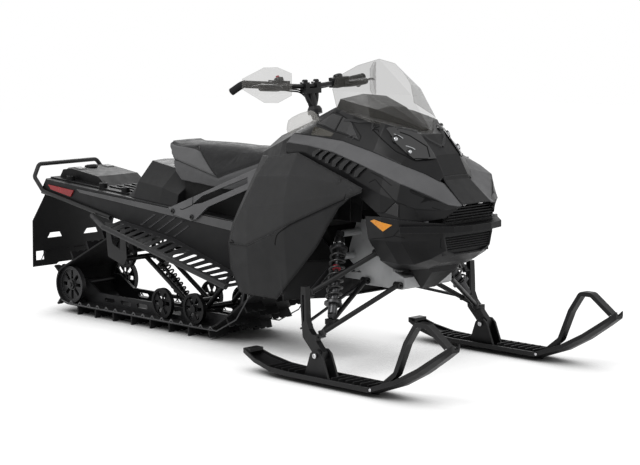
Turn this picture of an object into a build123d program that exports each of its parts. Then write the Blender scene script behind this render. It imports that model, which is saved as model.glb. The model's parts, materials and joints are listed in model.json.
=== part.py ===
"""Snowmobile for mixed trail and deep-snow use: tunnel, track and skid, faceted bodywork, skis and steering.

Frame: +X forward, +Y to the rider's left, +Z up. The origin is on the ground, midway along the machine.
"""

import os
from math import acos, atan2, cos, hypot, pi, radians, sin

from build123d import *

os.makedirs("parts", exist_ok=True)

# Overall
overall_length = 3220
rear_end_x = -overall_length / 2
front_end_x = overall_length / 2
seat_gap = 0.3
panel_gap = 0.8

# Track and the wheels it runs on
pitch_count = 51
track_width = 406
belt_thickness = 8
lug_height = 44
rear_idler_centre = (-1353, 146)
rear_idler_radius = 94
upper_idler_centre = (-976, 346)
upper_idler_radius = 80
drive_centre = (140, 413)
drive_radius = 88
rail_bend_centre_x = -329
rail_bend_radius = 273
belt_inner_z = lug_height + belt_thickness
bogie_radius = 75
bogie_x = (-645, -407)

# Tunnel
tunnel_half_width = 215
tunnel_sheet = 3
tunnel_rear_x = -1520
tunnel_front_x = 330
tunnel_top_rear_z = 684
tunnel_top_slope = 0.0655

# Running boards
board_half_width = 384
board_sheet = 4
rail_tube_radius = 13

# Rear bumper
bumper_radius = 11

# Steering
spindle_rake = 23
ski_stance = 1052
ski_half_width = 72
column_rake = 33
bar_centre = (247, 0, 1213)
bar_radius = 11


def finish(piece, label):
    """Name a finished piece and write it."""
    piece.label = label
    export_step(piece, f"parts/{label}.step")


def bar(start, end, radius, mode=Mode.ADD):
    """A round bar from one point to another."""
    axis = Vector(*end) - Vector(*start)
    with Locations(Plane(origin=start, z_dir=axis)):
        Cylinder(radius, axis.length, align=(Align.CENTER, Align.CENTER, Align.MIN), mode=mode)


def eye(centre, axis, radius, bore, width):
    """A plain eye: a short tube about an axis."""
    with Locations(Plane(origin=centre, z_dir=axis)):
        Cylinder(radius, width)
        Cylinder(bore, width + 2, mode=Mode.SUBTRACT)


def coil_spring(start, end, radius, wire, turns):
    """A coil spring with ground ends between two points."""
    line = Vector(*end) - Vector(*start)
    rise = line.length / turns
    with BuildPart() as coil:
        with BuildLine() as helix:
            Helix(rise, line.length + rise, radius, center=(0, 0, -rise / 2))
        with BuildSketch(Plane(helix.line @ 0, z_dir=helix.line % 0)):
            Circle(wire)
        sweep(path=helix.line, is_frenet=True)
        upright = (Align.CENTER, Align.CENTER, Align.MIN)
        Cylinder(radius + 2 * wire, line.length, align=upright, mode=Mode.INTERSECT)
    return coil.part.moved(Plane(origin=start, z_dir=line.normalized()).location)


def outline_at(x, points):
    """A closed outline across the machine at one station."""
    with BuildSketch(Plane.YZ.offset(x)) as outline:
        with BuildLine():
            Polyline(*points, close=True)
        make_face()
    return outline.sketch


def side_outline(points, y=0):
    """A closed outline in side view."""
    with BuildSketch(Plane.XZ.offset(-y)) as outline:
        with BuildLine():
            Polyline(*points, close=True)
        make_face()
    return outline.sketch


def sheet_loft(stations, inward):
    """A formed sheet through polylines at several stations, thickened by a shift in Y and Z."""
    sections = []
    for x, points in stations:
        inner = [(y + inward[0], z + inward[1]) for y, z in reversed(points)]
        sections.append(outline_at(x, [*points, *inner]))
    return loft(sections, ruled=True)


def full_width(half_points):
    """Complete a half outline, given from the centre line outwards, to both sides."""
    port = [(y, z) for y, z in half_points]
    starboard = [(-y, z) for y, z in reversed(half_points) if y > 0]
    return starboard + port


def belt_tangent(centre_a, radius_a, centre_b, radius_b):
    """Angle of the outward normal where a belt runs straight from wheel a to wheel b."""
    run = (centre_b[0] - centre_a[0], centre_b[1] - centre_a[1])
    return atan2(run[1], run[0]) + acos((radius_a - radius_b) / hypot(*run))


def on_wheel(centre, radius, angle):
    """Point on a wheel's rim in side view."""
    return (centre[0] + radius * cos(angle), centre[1] + radius * sin(angle))


wheels = [
    (upper_idler_centre, upper_idler_radius),
    (drive_centre, drive_radius),
    ((rail_bend_centre_x, belt_inner_z + rail_bend_radius), rail_bend_radius),
    (rear_idler_centre, rear_idler_radius),
]


def belt_loop(offset):
    """The closed line of the belt, offset outwards from its inner face, inside a BuildLine."""
    count = len(wheels)
    normals = []
    for index, (centre, radius) in enumerate(wheels):
        next_centre, next_radius = wheels[(index + 1) % count]
        normals.append(belt_tangent(centre, radius, next_centre, next_radius))
    for index, (centre, radius) in enumerate(wheels):
        next_centre, next_radius = wheels[(index + 1) % count]
        arrive = normals[index - 1]
        leave = normals[index]
        turn = (arrive - leave) % (2 * pi)
        start = on_wheel(centre, radius + offset, arrive)
        middle = on_wheel(centre, radius + offset, arrive - turn / 2)
        end = on_wheel(centre, radius + offset, leave)
        ThreePointArc(start, middle, end)
        Line(end, on_wheel(next_centre, next_radius + offset, leave))


def tunnel_top(x):
    """Height of the tunnel's top face."""
    return tunnel_top_rear_z - tunnel_top_slope * (x - tunnel_rear_x)


# Track: belt with rows of serrated paddles
with BuildLine(Plane.XZ) as pitch_line:
    belt_loop(belt_thickness / 2)
pitch_wire = pitch_line.wires()[0]
pitch_length = pitch_wire.length / pitch_count

paddle_root = 9
paddle_teeth = 3


def paddle_outline(low, high):
    """Paddle seen along the belt: flat root, serrated tip."""
    top = belt_thickness / 2 + lug_height
    notch = 9
    tooth = (high - low) / paddle_teeth
    points = [(low, 0), (high, 0), (high, top)]
    for index in range(paddle_teeth - 1, 0, -1):
        edge = low + index * tooth
        points += [(edge + tooth * 0.3, top), (edge, top - notch), (edge - tooth * 0.3, top)]
    points.append((low, top))
    return points


with BuildPart() as track:
    with BuildSketch(Plane.XZ):
        with BuildLine():
            belt_loop(belt_thickness)
        make_face()
        with BuildLine():
            belt_loop(0)
        make_face(mode=Mode.SUBTRACT)
    extrude(amount=track_width / 2, both=True)
    for index in range(pitch_count):
        share = (index + 0.5) / pitch_count
        along = pitch_wire % share
        row = Plane(origin=pitch_wire @ share, x_dir=(0, 1, 0), z_dir=along)
        spans = [(-200, -84), (84, 200)] if index % 2 == 0 else [(-62, 62)]
        for low, high in spans:
            with BuildSketch(row):
                with BuildLine():
                    Polyline(*paddle_outline(low, high), close=True)
                make_face()
    extrude(amount=paddle_root / 2, both=True)
finish(track.part, "track")

# Slide rails: slotted plates that follow the belt's inner face up to the front bend
rail_y = 110
rail_thickness = 14
rail_height = 58
rear_axle_radius = 12.5
shock_shaft_radius = 9
front_shock_shaft = (-250, 90)
rear_shock_shaft = (-610, 92)

with BuildPart() as slide_rails:
    with BuildSketch(Plane.XZ.offset(-rail_y - rail_thickness / 2)):
        with BuildLine():
            low = belt_inner_z + seat_gap
            bend = (rail_bend_centre_x, low)
            reach = rail_bend_radius - seat_gap
            bend_centre = wheels[2][0]
            tip_angle = radians(-62)
            tip = on_wheel(bend_centre, reach, tip_angle)
            mid = on_wheel(bend_centre, reach, radians(-76))
            rear = (rear_idler_centre[0] + 40, low)
            Line(rear, bend)
            ThreePointArc(bend, mid, tip)
            upper_tip = on_wheel(bend_centre, reach - rail_height * 0.55, tip_angle)
            upper_mid = on_wheel(bend_centre, reach - rail_height, radians(-80))
            Line(tip, upper_tip)
            Polyline(
                upper_tip,
                upper_mid,
                (rail_bend_centre_x - 40, low + rail_height),
                (rear_idler_centre[0] + 150, low + rail_height),
                (rear_idler_centre[0] + 40, rear_idler_centre[1] + 24),
                (rear_idler_centre[0] - 28, rear_idler_centre[1] + 24),
                (rear_idler_centre[0] - 28, rear_idler_centre[1] - 24),
                rear,
            )
        make_face()
        with Locations(rear_idler_centre):
            Circle(rear_axle_radius + seat_gap, mode=Mode.SUBTRACT)
        with Locations(*[(x, low + rail_height / 2) for x in range(-1120, -440, 130)]):
            SlotOverall(84, 22, mode=Mode.SUBTRACT)
    extrude(amount=rail_thickness)
    mirror(about=Plane.XZ)
    for x, z in (front_shock_shaft, rear_shock_shaft):
        bar((x, -rail_y, z), (x, rail_y, z), shock_shaft_radius)
finish(slide_rails.part, "slide_rails")


def wheel_profile(radius, width, hub_radius, tread):
    """Half section of a moulded wheel: hub, thin web and rim."""
    return [
        (0, -width * 0.7),
        (hub_radius, -width * 0.7),
        (hub_radius, -4),
        (radius - tread, -4),
        (radius - tread, -width / 2),
        (radius, -width / 2),
        (radius, width / 2),
        (radius - tread, width / 2),
        (radius - tread, 4),
        (hub_radius, 4),
        (hub_radius, width * 0.7),
        (0, width * 0.7),
    ]


def wheel(x, y, z, radius, width, hub_radius=20, tread=12, windows=0):
    """A moulded wheel on a cross axle, with windows cut in its web."""
    face = Plane(origin=(x, y, z), x_dir=(1, 0, 0), z_dir=(0, 0, 1))
    with BuildSketch(face) as section:
        with BuildLine():
            Polyline(*wheel_profile(radius, width, hub_radius, tread), close=True)
        make_face()
    revolve(section.sketch, axis=Axis((x, y, z), (0, 1, 0)))
    if windows:
        ring = (hub_radius + radius - tread) / 2
        span = radius - tread - hub_radius - 8
        with BuildSketch(Plane(origin=(x, y, z), x_dir=(1, 0, 0), z_dir=(0, 1, 0))) as holes:
            with PolarLocations(ring, windows):
                RectangleRounded(span, ring * 2 * pi / windows * 0.5, 4)
        extrude(holes.sketch, amount=width, both=True, mode=Mode.SUBTRACT)


# Rear axle with its two idlers
idler_y = 172
idler_width = 24
with BuildPart() as rear_axle:
    x, z = rear_idler_centre
    bar((x, -idler_y - 24, z), (x, idler_y + 24, z), rear_axle_radius)
    for side in (-1, 1):
        wheel(x, side * idler_y, z, rear_idler_radius - seat_gap, idler_width, 24, 14, 8)
finish(rear_axle.part, "rear_axle")

# Upper idlers on their cross axle
upper_axle_radius = 10
with BuildPart() as upper_idlers:
    x, z = upper_idler_centre
    bar((x, -tunnel_half_width + 7, z), (x, tunnel_half_width - 7, z), upper_axle_radius)
    for side in (-1, 1):
        wheel(x, side * 120, z, upper_idler_radius - seat_gap, 22, 20, 12, 6)
finish(upper_idlers.part, "upper_idlers")

# Bogie wheels, two pairs outside the rails, each pair on its axle through the rails
bogie_z = belt_inner_z + bogie_radius + seat_gap
with BuildPart() as bogie_wheels:
    for x in bogie_x:
        for side in (-1, 1):
            wheel(x, side * 158, bogie_z, bogie_radius, 22, 18, 12, 6)
            inner = rail_y + rail_thickness / 2 + seat_gap
            bar((x, side * inner, bogie_z), (x, side * 158, bogie_z), 12)
            with Locations((x, side * (inner + 5), bogie_z - 34)):
                Box(26, 10, 68)
finish(bogie_wheels.part, "bogie_wheels")

# Drive axle with toothed sprockets
sprocket_teeth = 8
with BuildPart() as drive_axle:
    x, z = drive_centre
    bar((x, -tunnel_half_width + tunnel_sheet + 0.5, z), (x, tunnel_half_width - tunnel_sheet - 0.5, z), 16)
    for side in (-1, 1):
        with BuildSketch(Plane(origin=(x, side * 95, z), x_dir=(1, 0, 0), z_dir=(0, 1, 0))) as sprocket:
            Circle(drive_radius - seat_gap)
            with PolarLocations(drive_radius, sprocket_teeth):
                Rectangle(20, 30, mode=Mode.SUBTRACT)
        extrude(sprocket.sketch, amount=14, both=True)
finish(drive_axle.part, "drive_axle")

# Skid arms
front_arm_top = (-130, 392)
front_arm_foot = (-400, 128)
rear_arm_top = (-885, 327)
rear_arm_foot = (-560, 128)
cross_reach = rail_y - rail_thickness / 2 - seat_gap


def swing_arm(top, foot, top_reach, leg_y, radius):
    """A welded arm: two legs between a top cross tube and a foot cross tube."""
    bar((top[0], -top_reach, top[1]), (top[0], top_reach, top[1]), radius)
    bar((foot[0], -cross_reach, foot[1]), (foot[0], cross_reach, foot[1]), radius)
    for side in (-1, 1):
        bar((top[0], side * leg_y, top[1]), (foot[0], side * leg_y, foot[1]), radius - 1)


arm_tube_radius = 13
arm_cross = (
    front_arm_top[0] + 0.2 * (front_arm_foot[0] - front_arm_top[0]),
    front_arm_top[1] + 0.2 * (front_arm_foot[1] - front_arm_top[1]),
)
with BuildPart() as skid_arms:
    swing_arm(front_arm_top, front_arm_foot, tunnel_half_width - tunnel_sheet - seat_gap, 80, arm_tube_radius)
    swing_arm(rear_arm_top, rear_arm_foot, tunnel_half_width - 7, 66, arm_tube_radius)
    bar((arm_cross[0], -80, arm_cross[1]), (arm_cross[0], 80, arm_cross[1]), shock_shaft_radius)
finish(skid_arms.part, "skid_arms")


def along(foot, head, share):
    """Point on the centre plane, part of the way from a foot to a head given in side view."""
    return (foot[0] + share * (head[0] - foot[0]), 0, foot[1] + share * (head[1] - foot[1]))


def skid_shock(foot, head, foot_bore, head_bore, radius):
    """A shock between two cross shafts: body, rod and an eye at each end."""
    low = along(foot, head, 0)
    high = along(foot, head, 1)
    run = (Vector(*high) - Vector(*low)).normalized()
    start = Vector(*low) + run * (foot_bore + 2)
    end = Vector(*high) - run * (head_bore + 2)
    middle = start + (end - start) * 0.6
    bar(tuple(start), tuple(middle), radius)
    bar(tuple(middle), tuple(end), radius * 0.45)
    eye(low, (0, 1, 0), foot_bore + 7, foot_bore, 26)
    eye(high, (0, 1, 0), head_bore + 7, head_bore, 26)


# Skid shocks: a slim front one on the front arm and a larger sprung rear one on the rear arm
skid_spring_radius = 28
skid_spring_wire = 4.5
skid_spring_low = 0.14
skid_spring_high = 0.8
skid_perch_radius = skid_spring_radius + skid_spring_wire + 3
with BuildPart() as skid_shocks:
    shaft_bore = shock_shaft_radius + seat_gap
    skid_shock(front_shock_shaft, arm_cross, shaft_bore, shaft_bore, 16)
    skid_shock(rear_shock_shaft, rear_arm_top, shaft_bore, arm_tube_radius + seat_gap, 19)
    for share in (skid_spring_low - 0.02, skid_spring_high):
        perch = along(rear_shock_shaft, rear_arm_top, share)
        bar(perch, along(rear_shock_shaft, rear_arm_top, share + 0.02), skid_perch_radius)
finish(skid_shocks.part, "skid_shocks")

# Drop brackets under the tunnel, which carry the upper idlers and the rear arm
with BuildPart() as drop_brackets:
    with BuildSketch(Plane.XZ.offset(-(tunnel_half_width - 6.7))):
        with BuildLine():
            Polyline(
                (-1020, 500), (-1004, 330), (-964, 318), (-880, 296), (-856, 330), (-868, 500), close=True,
            )
        make_face()
        with BuildLine():
            Polyline((-986, 470), (-966, 396), (-906, 372), (-904, 470), close=True)
        make_face(mode=Mode.SUBTRACT)
    extrude(amount=-3.4)
    mirror(about=Plane.XZ)
finish(drop_brackets.part, "drop_brackets")

# Tunnel: folded sheet, open below, with its sides cut along a rising edge
side_bottom = [(-1548, 606), (-951, 528), (-467, 462), (-82, 354), (240, 270), (tunnel_front_x, 300)]
tunnel_side_line = [
    (tunnel_rear_x - 20, 655),
    (tunnel_rear_x, tunnel_top(tunnel_rear_x)),
    (tunnel_front_x, tunnel_top(tunnel_front_x)),
    *reversed(side_bottom),
]
rib_start = (-736, 514)
rib_pitch = (62, -9)
rib_lengths = (116, 142, 150, 142, 118)
rib_lean = (0.87, 0.49)
rib_width = 16
rib_rise = 2.5
with BuildPart() as tunnel:
    extrude(side_outline(tunnel_side_line), amount=tunnel_half_width, both=True)
    chamfer(tunnel.edges().filter_by(Axis.Y, reverse=True).group_by(Axis.Z)[-1], 14)
    hollow_rear_x = tunnel_rear_x - 100
    hollow_front_x = tunnel_front_x + 100
    hollow = [
        (hollow_rear_x, tunnel_top(hollow_rear_x) - tunnel_sheet),
        (hollow_front_x, tunnel_top(hollow_front_x) - tunnel_sheet),
        (hollow_front_x, 100),
        (hollow_rear_x, 100),
    ]
    extrude(side_outline(hollow), amount=tunnel_half_width - tunnel_sheet, both=True, mode=Mode.SUBTRACT)
    for index, length in enumerate(rib_lengths):
        foot = (rib_start[0] + index * rib_pitch[0], rib_start[1] + index * rib_pitch[1])
        tip = (foot[0] + length * rib_lean[0], foot[1] + length * rib_lean[1])
        rib = [foot, (foot[0] + rib_width, foot[1]), (tip[0] + rib_width, tip[1]), tip]
        for side in (-1, 1):
            extrude(side_outline(rib, side * tunnel_half_width), amount=-side * rib_rise)
finish(tunnel.part, "tunnel")

# Tunnel edge strips: pale bands on the outer face of each side, just below the fold
strip_sheet = 3.5
strip_y = tunnel_half_width + seat_gap
strip_drop = 46
with BuildPart() as edge_strips:
    strip_line = [
        (-1240, tunnel_top(-1240) - 16),
        (150, tunnel_top(150) - 4),
        (150, tunnel_top(150) - 4 - strip_drop),
        (-1215, tunnel_top(-1215) - 30),
    ]
    extrude(side_outline(strip_line, strip_y), amount=-strip_sheet)
    mirror(about=Plane.XZ)
finish(edge_strips.part, "edge_strips")

# Cargo deck: ribbed plate on the tunnel, with a raised rear block and its anchors
deck_plate = 8
deck_front_x = -880
deck_rear_x = -1512
deck_half_width = 178
anchor_radius = 21
anchor_bore = 12.5
anchor_height = 30
anchor_depth = 18


def deck_line(low, high, rear, front):
    """Side outline of a slab that lies along the tunnel's top."""
    return [
        (rear, tunnel_top(rear) + low),
        (rear, tunnel_top(rear) + high),
        (front, tunnel_top(front) + high),
        (front, tunnel_top(front) + low),
    ]


with BuildPart() as cargo_deck:
    base = seat_gap
    plate = side_outline(deck_line(base, base + deck_plate, deck_rear_x, deck_front_x))
    extrude(plate, amount=deck_half_width, both=True)
    for y in (-120, -72, -24, 24, 72, 120):
        rib = side_outline(deck_line(base, base + deck_plate + 7, -1090, deck_front_x - 12), y)
        extrude(rib, amount=7, both=True)
    rear_block = [
        (-1500, tunnel_top(-1500) + base + 4),
        (-1470, tunnel_top(-1470) + 48),
        (-1400, tunnel_top(-1400) + 62),
        (-1180, tunnel_top(-1180) + 50),
        (-1105, tunnel_top(-1105) + base + 4),
    ]
    extrude(side_outline(rear_block), amount=128, both=True)
    anchor_spots = [(-1367, 158), (-1097, 158), (-930, 150)]
    for x, y in anchor_spots:
        for side in (-1, 1):
            floor = tunnel_top(x)
            bar((x, side * y, floor + 4), (x, side * y, floor + anchor_height), anchor_radius)
            bar((x, side * y, floor + anchor_height - anchor_depth), (x, side * y, floor + 60), anchor_bore,
                mode=Mode.SUBTRACT)
finish(cargo_deck.part, "cargo_deck")

# Rear bumper: one bent tube that rises behind the deck
bumper_y = tunnel_half_width + bumper_radius + seat_gap
bumper_back_x = rear_end_x + bumper_radius
bumper_side = [
    (-958, bumper_y, 528),
    (-1512, bumper_y, 620),
    (-1586, bumper_y, 690),
    (bumper_back_x, 186, 752),
]
bumper_route = [(x, -y, z) for x, y, z in bumper_side] + list(reversed(bumper_side))
with BuildPart() as rear_bumper:
    with BuildLine() as bumper_line:
        FilletPolyline(*bumper_route, radius=30)
    with BuildSketch(Plane(bumper_line.line @ 0, z_dir=bumper_line.line % 0)):
        Circle(bumper_radius)
    sweep(path=bumper_line.line)
finish(rear_bumper.part, "rear_bumper")

# Snow flap: moulded sheet behind the track, with hand windows
flap_sheet = 5
flap_top_x = -1512
flap_top = (flap_top_x, tunnel_top(flap_top_x) - tunnel_sheet - 1)
flap_foot = (-1599, 218)
flap_rise = Vector(flap_top[0] - flap_foot[0], 0, flap_top[1] - flap_foot[1])
flap_face = Vector(flap_rise.Z, 0, -flap_rise.X)
flap_length = flap_rise.length
flap_half = [(186, flap_length), (204, 384), (268, 252), (240, 0), (90, 0), (76, 10)]
with BuildPart() as snow_flap:
    with BuildSketch(Plane(origin=(flap_foot[0], 0, flap_foot[1]), x_dir=(0, 1, 0), z_dir=flap_face)):
        with BuildLine():
            Polyline(*full_width(flap_half), close=True)
        make_face()
        for side in (-1, 1):
            with BuildLine():
                Polyline(
                    (side * 70, 150), (side * 165, 150), (side * 150, 178), (side * 88, 178), close=True,
                )
            make_face(mode=Mode.SUBTRACT)
            with BuildLine():
                Polyline(
                    (side * 172, 34), (side * 224, 34), (side * 230, 84), (side * 182, 84), close=True,
                )
            make_face(mode=Mode.SUBTRACT)
    extrude(amount=-flap_sheet)
finish(snow_flap.part, "snow_flap")

# Tail lights: a red wedge on each side of the tunnel's rear end
with BuildPart() as tail_lights:
    lens = [(-1478, 657), (-1262, 641), (-1290, 608), (-1452, 634)]
    extrude(side_outline(lens, tunnel_half_width + seat_gap), amount=-7)
    mirror(about=Plane.XZ)
finish(tail_lights.part, "tail_lights")

# Running boards: slotted sheet sloping outwards from the tunnel, edged by a tube that kicks up at the rear
board_inner_y = tunnel_half_width + seat_gap
board_stations = [
    (-885, 522, 326, 497),
    (-467, 464, 368, 424),
    (-82, 356, 370, 347),
    (78, 316, 372, 313),
]
with BuildPart() as running_boards:
    board_sections = []
    for x, inner_z, outer_y, outer_z in board_stations:
        edge = [(board_inner_y, inner_z), (outer_y, outer_z), (outer_y, outer_z - board_sheet)]
        board_sections.append(outline_at(x, [*edge, (board_inner_y, inner_z - board_sheet)]))
    loft(board_sections, ruled=True)
    with BuildSketch(Plane.XY):
        for index in range(17):
            with Locations((-842 + index * 55, 292)):
                SlotOverall(104, 26, rotation=90)
    extrude(amount=700, mode=Mode.SUBTRACT)
    rail_route = [(-1080, 246, 531), (-885, 330, 497), (-330, 382, 401), (80, 384, 312)]
    for start, end in zip(rail_route[:-1], rail_route[1:]):
        bar(start, end, rail_tube_radius)
    for joint in rail_route[1:-1]:
        with Locations(joint):
            Sphere(rail_tube_radius)
    mirror(about=Plane.XZ)
finish(running_boards.part, "running_boards")

# Seat with its base, and the faceted cover behind it
seat_under = [(-480, 743), (-139, 721), (118, 733)]
seat_side = [(-646, 940), (-632, 921), *seat_under, (118, 960)]
seat_stations = [
    (-650, [(0, 930), (90, 926), (128, 905), (172, 790), (160, 700)]),
    (-139, [(0, 909), (104, 905), (140, 884), (192, 790), (182, 700)]),
    (130, [(0, 926), (84, 922), (112, 900), (160, 800), (150, 700)]),
]
with BuildPart() as seat:
    loft([outline_at(x, full_width(points)) for x, points in seat_stations], ruled=True)
    extrude(side_outline(seat_side), amount=300, both=True, mode=Mode.INTERSECT)
finish(seat.part, "seat")

seat_base_half_width = 150
with BuildPart() as seat_base:
    rear_x = seat_under[0][0] + 10
    front_x = seat_under[-1][0]
    block = [
        (rear_x, tunnel_top(rear_x) + seat_gap),
        (front_x, tunnel_top(front_x) + seat_gap),
        *[(x, z - seat_gap) for x, z in reversed(seat_under[1:])],
        (rear_x, seat_under[0][1] - seat_gap - 0.6),
    ]
    extrude(side_outline(block), amount=seat_base_half_width, both=True)
finish(seat_base.part, "seat_base")

cover_stations = [
    (-868, [(0, 664), (60, 662), (150, 658)], 190),
    (-805, [(0, 816), (76, 812), (168, 716)], 200),
    (-600, [(0, 790), (88, 786), (186, 700)], 206),
    (-476, [(0, 738), (92, 734), (190, 676)], 206),
]
with BuildPart() as rear_cover:
    cover_sections = []
    for x, points, foot in cover_stations:
        floor = tunnel_top(x) + seat_gap
        cover_sections.append(outline_at(x, full_width([*points, (foot, floor)])))
    loft(cover_sections, ruled=True)
finish(rear_cover.part, "rear_cover")

# Frame braces: a cast strut on each side, from the tunnel up towards the steering
brace_thickness = 14
with BuildPart() as frame_braces:
    strut = [
        (-500, 618), (-468, 588), (-335, 566), (-300, 578), (-215, 642), (130, 768), (130, 846), (-478, 622),
    ]
    brace_y = strip_y + strip_sheet + seat_gap
    with BuildSketch(Plane.XZ.offset(-brace_y)):
        with BuildLine():
            Polyline(*strut, close=True)
        make_face()
        with BuildLine():
            Polyline((-330, 642), (-250, 658), (70, 772), (70, 802), (-250, 692), close=True)
        make_face(mode=Mode.SUBTRACT)
    extrude(amount=-brace_thickness)
    mirror(about=Plane.XZ)
finish(frame_braces.part, "frame_braces")

# Engine cradle: floor and side plates ahead of the tunnel
cradle_half_width = 200
cradle_sheet = 5
cradle_rear_x = tunnel_front_x + seat_gap
cradle_front_x = 612
cradle_floor_z = 300
with BuildPart() as engine_cradle:
    side_plate = [
        (cradle_rear_x, cradle_floor_z),
        (cradle_rear_x, tunnel_top(tunnel_front_x)),
        (520, 560),
        (cradle_front_x, 480),
        (cradle_front_x, cradle_floor_z),
    ]
    extrude(side_outline(side_plate), amount=cradle_half_width, both=True)
    inside = [(x, z + cradle_sheet if z == cradle_floor_z else z + 100) for x, z in side_plate]
    extrude(side_outline(inside), amount=cradle_half_width - cradle_sheet, both=True, mode=Mode.SUBTRACT)
    flange_inner = 104
    for side in (-1, 1):
        centre_y = side * (flange_inner + cradle_half_width) / 2
        with Locations((cradle_front_x - cradle_sheet / 2, centre_y, (cradle_floor_z + 480) / 2)):
            Box(cradle_sheet, cradle_half_width - flange_inner, 480 - cradle_floor_z)
finish(engine_cradle.part, "engine_cradle")

with BuildPart() as engine_block:
    low = cradle_floor_z + cradle_sheet + seat_gap
    block = [(345, low), (590, low), (590, 470), (536, 610), (345, 610)]
    extrude(side_outline(block), amount=185, both=True)
finish(engine_block.part, "engine_block")

# Steering lines: the column runs down ahead of the engine, and the pitman turns about a raked axis
column_point = (279, 0, 1072)
column_down = (sin(radians(column_rake)), 0, -cos(radians(column_rake)))
column_radius = 14
column_length = 704
column_seat = 690
rake = radians(spindle_rake)
steer_axis = (-sin(rake), 0, cos(rake))
rake_forward = Vector(cos(rake), 0, sin(rake))
pitman_point = (700, 0, 400)
pitman_shaft_radius = 10
pitman_seat = 34
beam_thickness = 20


def on_column(distance):
    """Point on the steering column's axis, measured down from where it enters the console."""
    return tuple(Vector(*column_point) + Vector(*column_down) * distance)


def rake_offset(centre, forward, across, up):
    """Point at an offset in the plane square to the steering axis, and along that axis."""
    return tuple(Vector(*centre) + rake_forward * forward + Vector(0, across, 0) + Vector(*steer_axis) * up)


# Front bulkhead: casting that carries the suspension arms, the shocks and the two steering bearings
arm_pivot_y = 165
upper_pivot_y = 230
arm_eye_radius = 15
lower_ball = (815, 490, 207)
upper_ball = (745, 490, 372)
lower_pivots = [(950, arm_pivot_y, 389), (753, arm_pivot_y, 389)]
upper_pivots = [(890, upper_pivot_y, 531), (664, upper_pivot_y, 492)]
shock_foot = (814, 430, 274)
shock_head = (703, 268, 600)
shock_eye = 14
bulkhead_half_width = arm_pivot_y - arm_eye_radius - seat_gap
bulkhead_plate = 14
bulkhead_nose_x = 975
with BuildPart() as bulkhead:
    casting = [
        (640, 470), (640, 520), (690, 650), (760, 660), (900, 560), (908, 444), (bulkhead_nose_x, 420),
        (bulkhead_nose_x, 378), (960, 368), (735, 368), (706, 386), (cradle_front_x + seat_gap, 386),
        (cradle_front_x + seat_gap, 414), (716, 418),
    ]
    extrude(side_outline(casting), amount=bulkhead_half_width, both=True)
    hollow = [
        (600, 440), (600, 700), (1000, 700), (905, 470), (955, 430), (955, 400), (700, 400), (700, 440),
    ]
    extrude(side_outline(hollow), amount=bulkhead_half_width - bulkhead_plate, both=True, mode=Mode.SUBTRACT)
    channel = [(600, 300), (600, 500), (745, 500), (745, 300)]
    extrude(side_outline(channel), amount=94, both=True, mode=Mode.SUBTRACT)
    beam_reach = 2 * (bulkhead_half_width - bulkhead_plate / 2)
    bearing_point = rake_offset(pitman_point, 0, 0, pitman_seat)
    with Locations(Plane(origin=bearing_point, x_dir=(0, 1, 0), z_dir=steer_axis)):
        Box(beam_reach, 44, beam_thickness)
        Cylinder(pitman_shaft_radius + seat_gap, 2 * beam_thickness, mode=Mode.SUBTRACT)
    with Locations(Plane(origin=on_column(column_seat), x_dir=(0, 1, 0), z_dir=column_down)):
        Box(beam_reach, 46, beam_thickness)
        Cylinder(column_radius + seat_gap, 2 * beam_thickness, mode=Mode.SUBTRACT)
    for x, y, z in upper_pivots:
        for side in (-1, 1):
            reach = upper_pivot_y - arm_eye_radius - seat_gap
            bar((x, side * (bulkhead_half_width - 4), z), (x, side * reach, z), 15)
    for side in (-1, 1):
        x, y, z = shock_head
        bar((x, side * (bulkhead_half_width - 4), z), (x, side * (y - 14 - seat_gap), z), 15)
finish(bulkhead.part, "bulkhead")


ball_radius = 16
ball_bore = 7.3
ball_width = 24
arm_tube = 11


def side_arm(ball, pivots, side):
    """One A-arm: a ball eye outboard, two pivot eyes inboard and the tubes between."""
    centre = Vector(ball[0], side * ball[1], ball[2])
    ends = [Vector(x, side * y, z) for x, y, z in pivots]
    for end in ends:
        run = (end - centre).normalized()
        bar(tuple(centre + run * (ball_bore + 4)), tuple(end - run * 10), arm_tube)
    eye(tuple(centre), steer_axis, ball_radius, ball_bore, ball_width)
    for end in ends:
        eye(tuple(end), (1, 0, 0), arm_eye_radius, 6, 34)


with BuildPart() as suspension_arms:
    for side in (-1, 1):
        side_arm(lower_ball, lower_pivots, side)
        side_arm(upper_ball, upper_pivots, side)
        with Locations((shock_foot[0], side * shock_foot[1], shock_foot[2] - shock_eye - seat_gap)):
            Box(52, 34, 24, align=(Align.CENTER, Align.CENTER, Align.MAX))
finish(suspension_arms.part, "suspension_arms")

# Front shocks with their coil springs
shock_line = Vector(*shock_head) - Vector(*shock_foot)
spring_radius = 31
spring_wire = 5
spring_turns = 8
spring_low = 0.155
spring_high = 0.8
perch_radius = spring_radius + spring_wire + 3


def on_shock(share, side):
    """Point on the shock's centre line, as a share of its length."""
    point = Vector(*shock_foot) + shock_line * share
    return (point.X, side * point.Y, point.Z)


with BuildPart() as front_shocks:
    for side in (-1, 1):
        bar(on_shock(0.02, side), on_shock(0.5, side), 20)
        bar(on_shock(0.48, side), on_shock(0.97, side), 9)
        bar(on_shock(spring_low - 0.025, side), on_shock(spring_low, side), perch_radius)
        bar(on_shock(spring_high, side), on_shock(spring_high + 0.03, side), perch_radius)
        bar(on_shock(spring_high, side), on_shock(0.93, side), 19)
        for place in (shock_foot, shock_head):
            with Locations(Plane(origin=(place[0], side * place[1], place[2]), z_dir=(1, 0, 0))):
                Cylinder(shock_eye, 26)
finish(front_shocks.part, "front_shocks")

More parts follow.
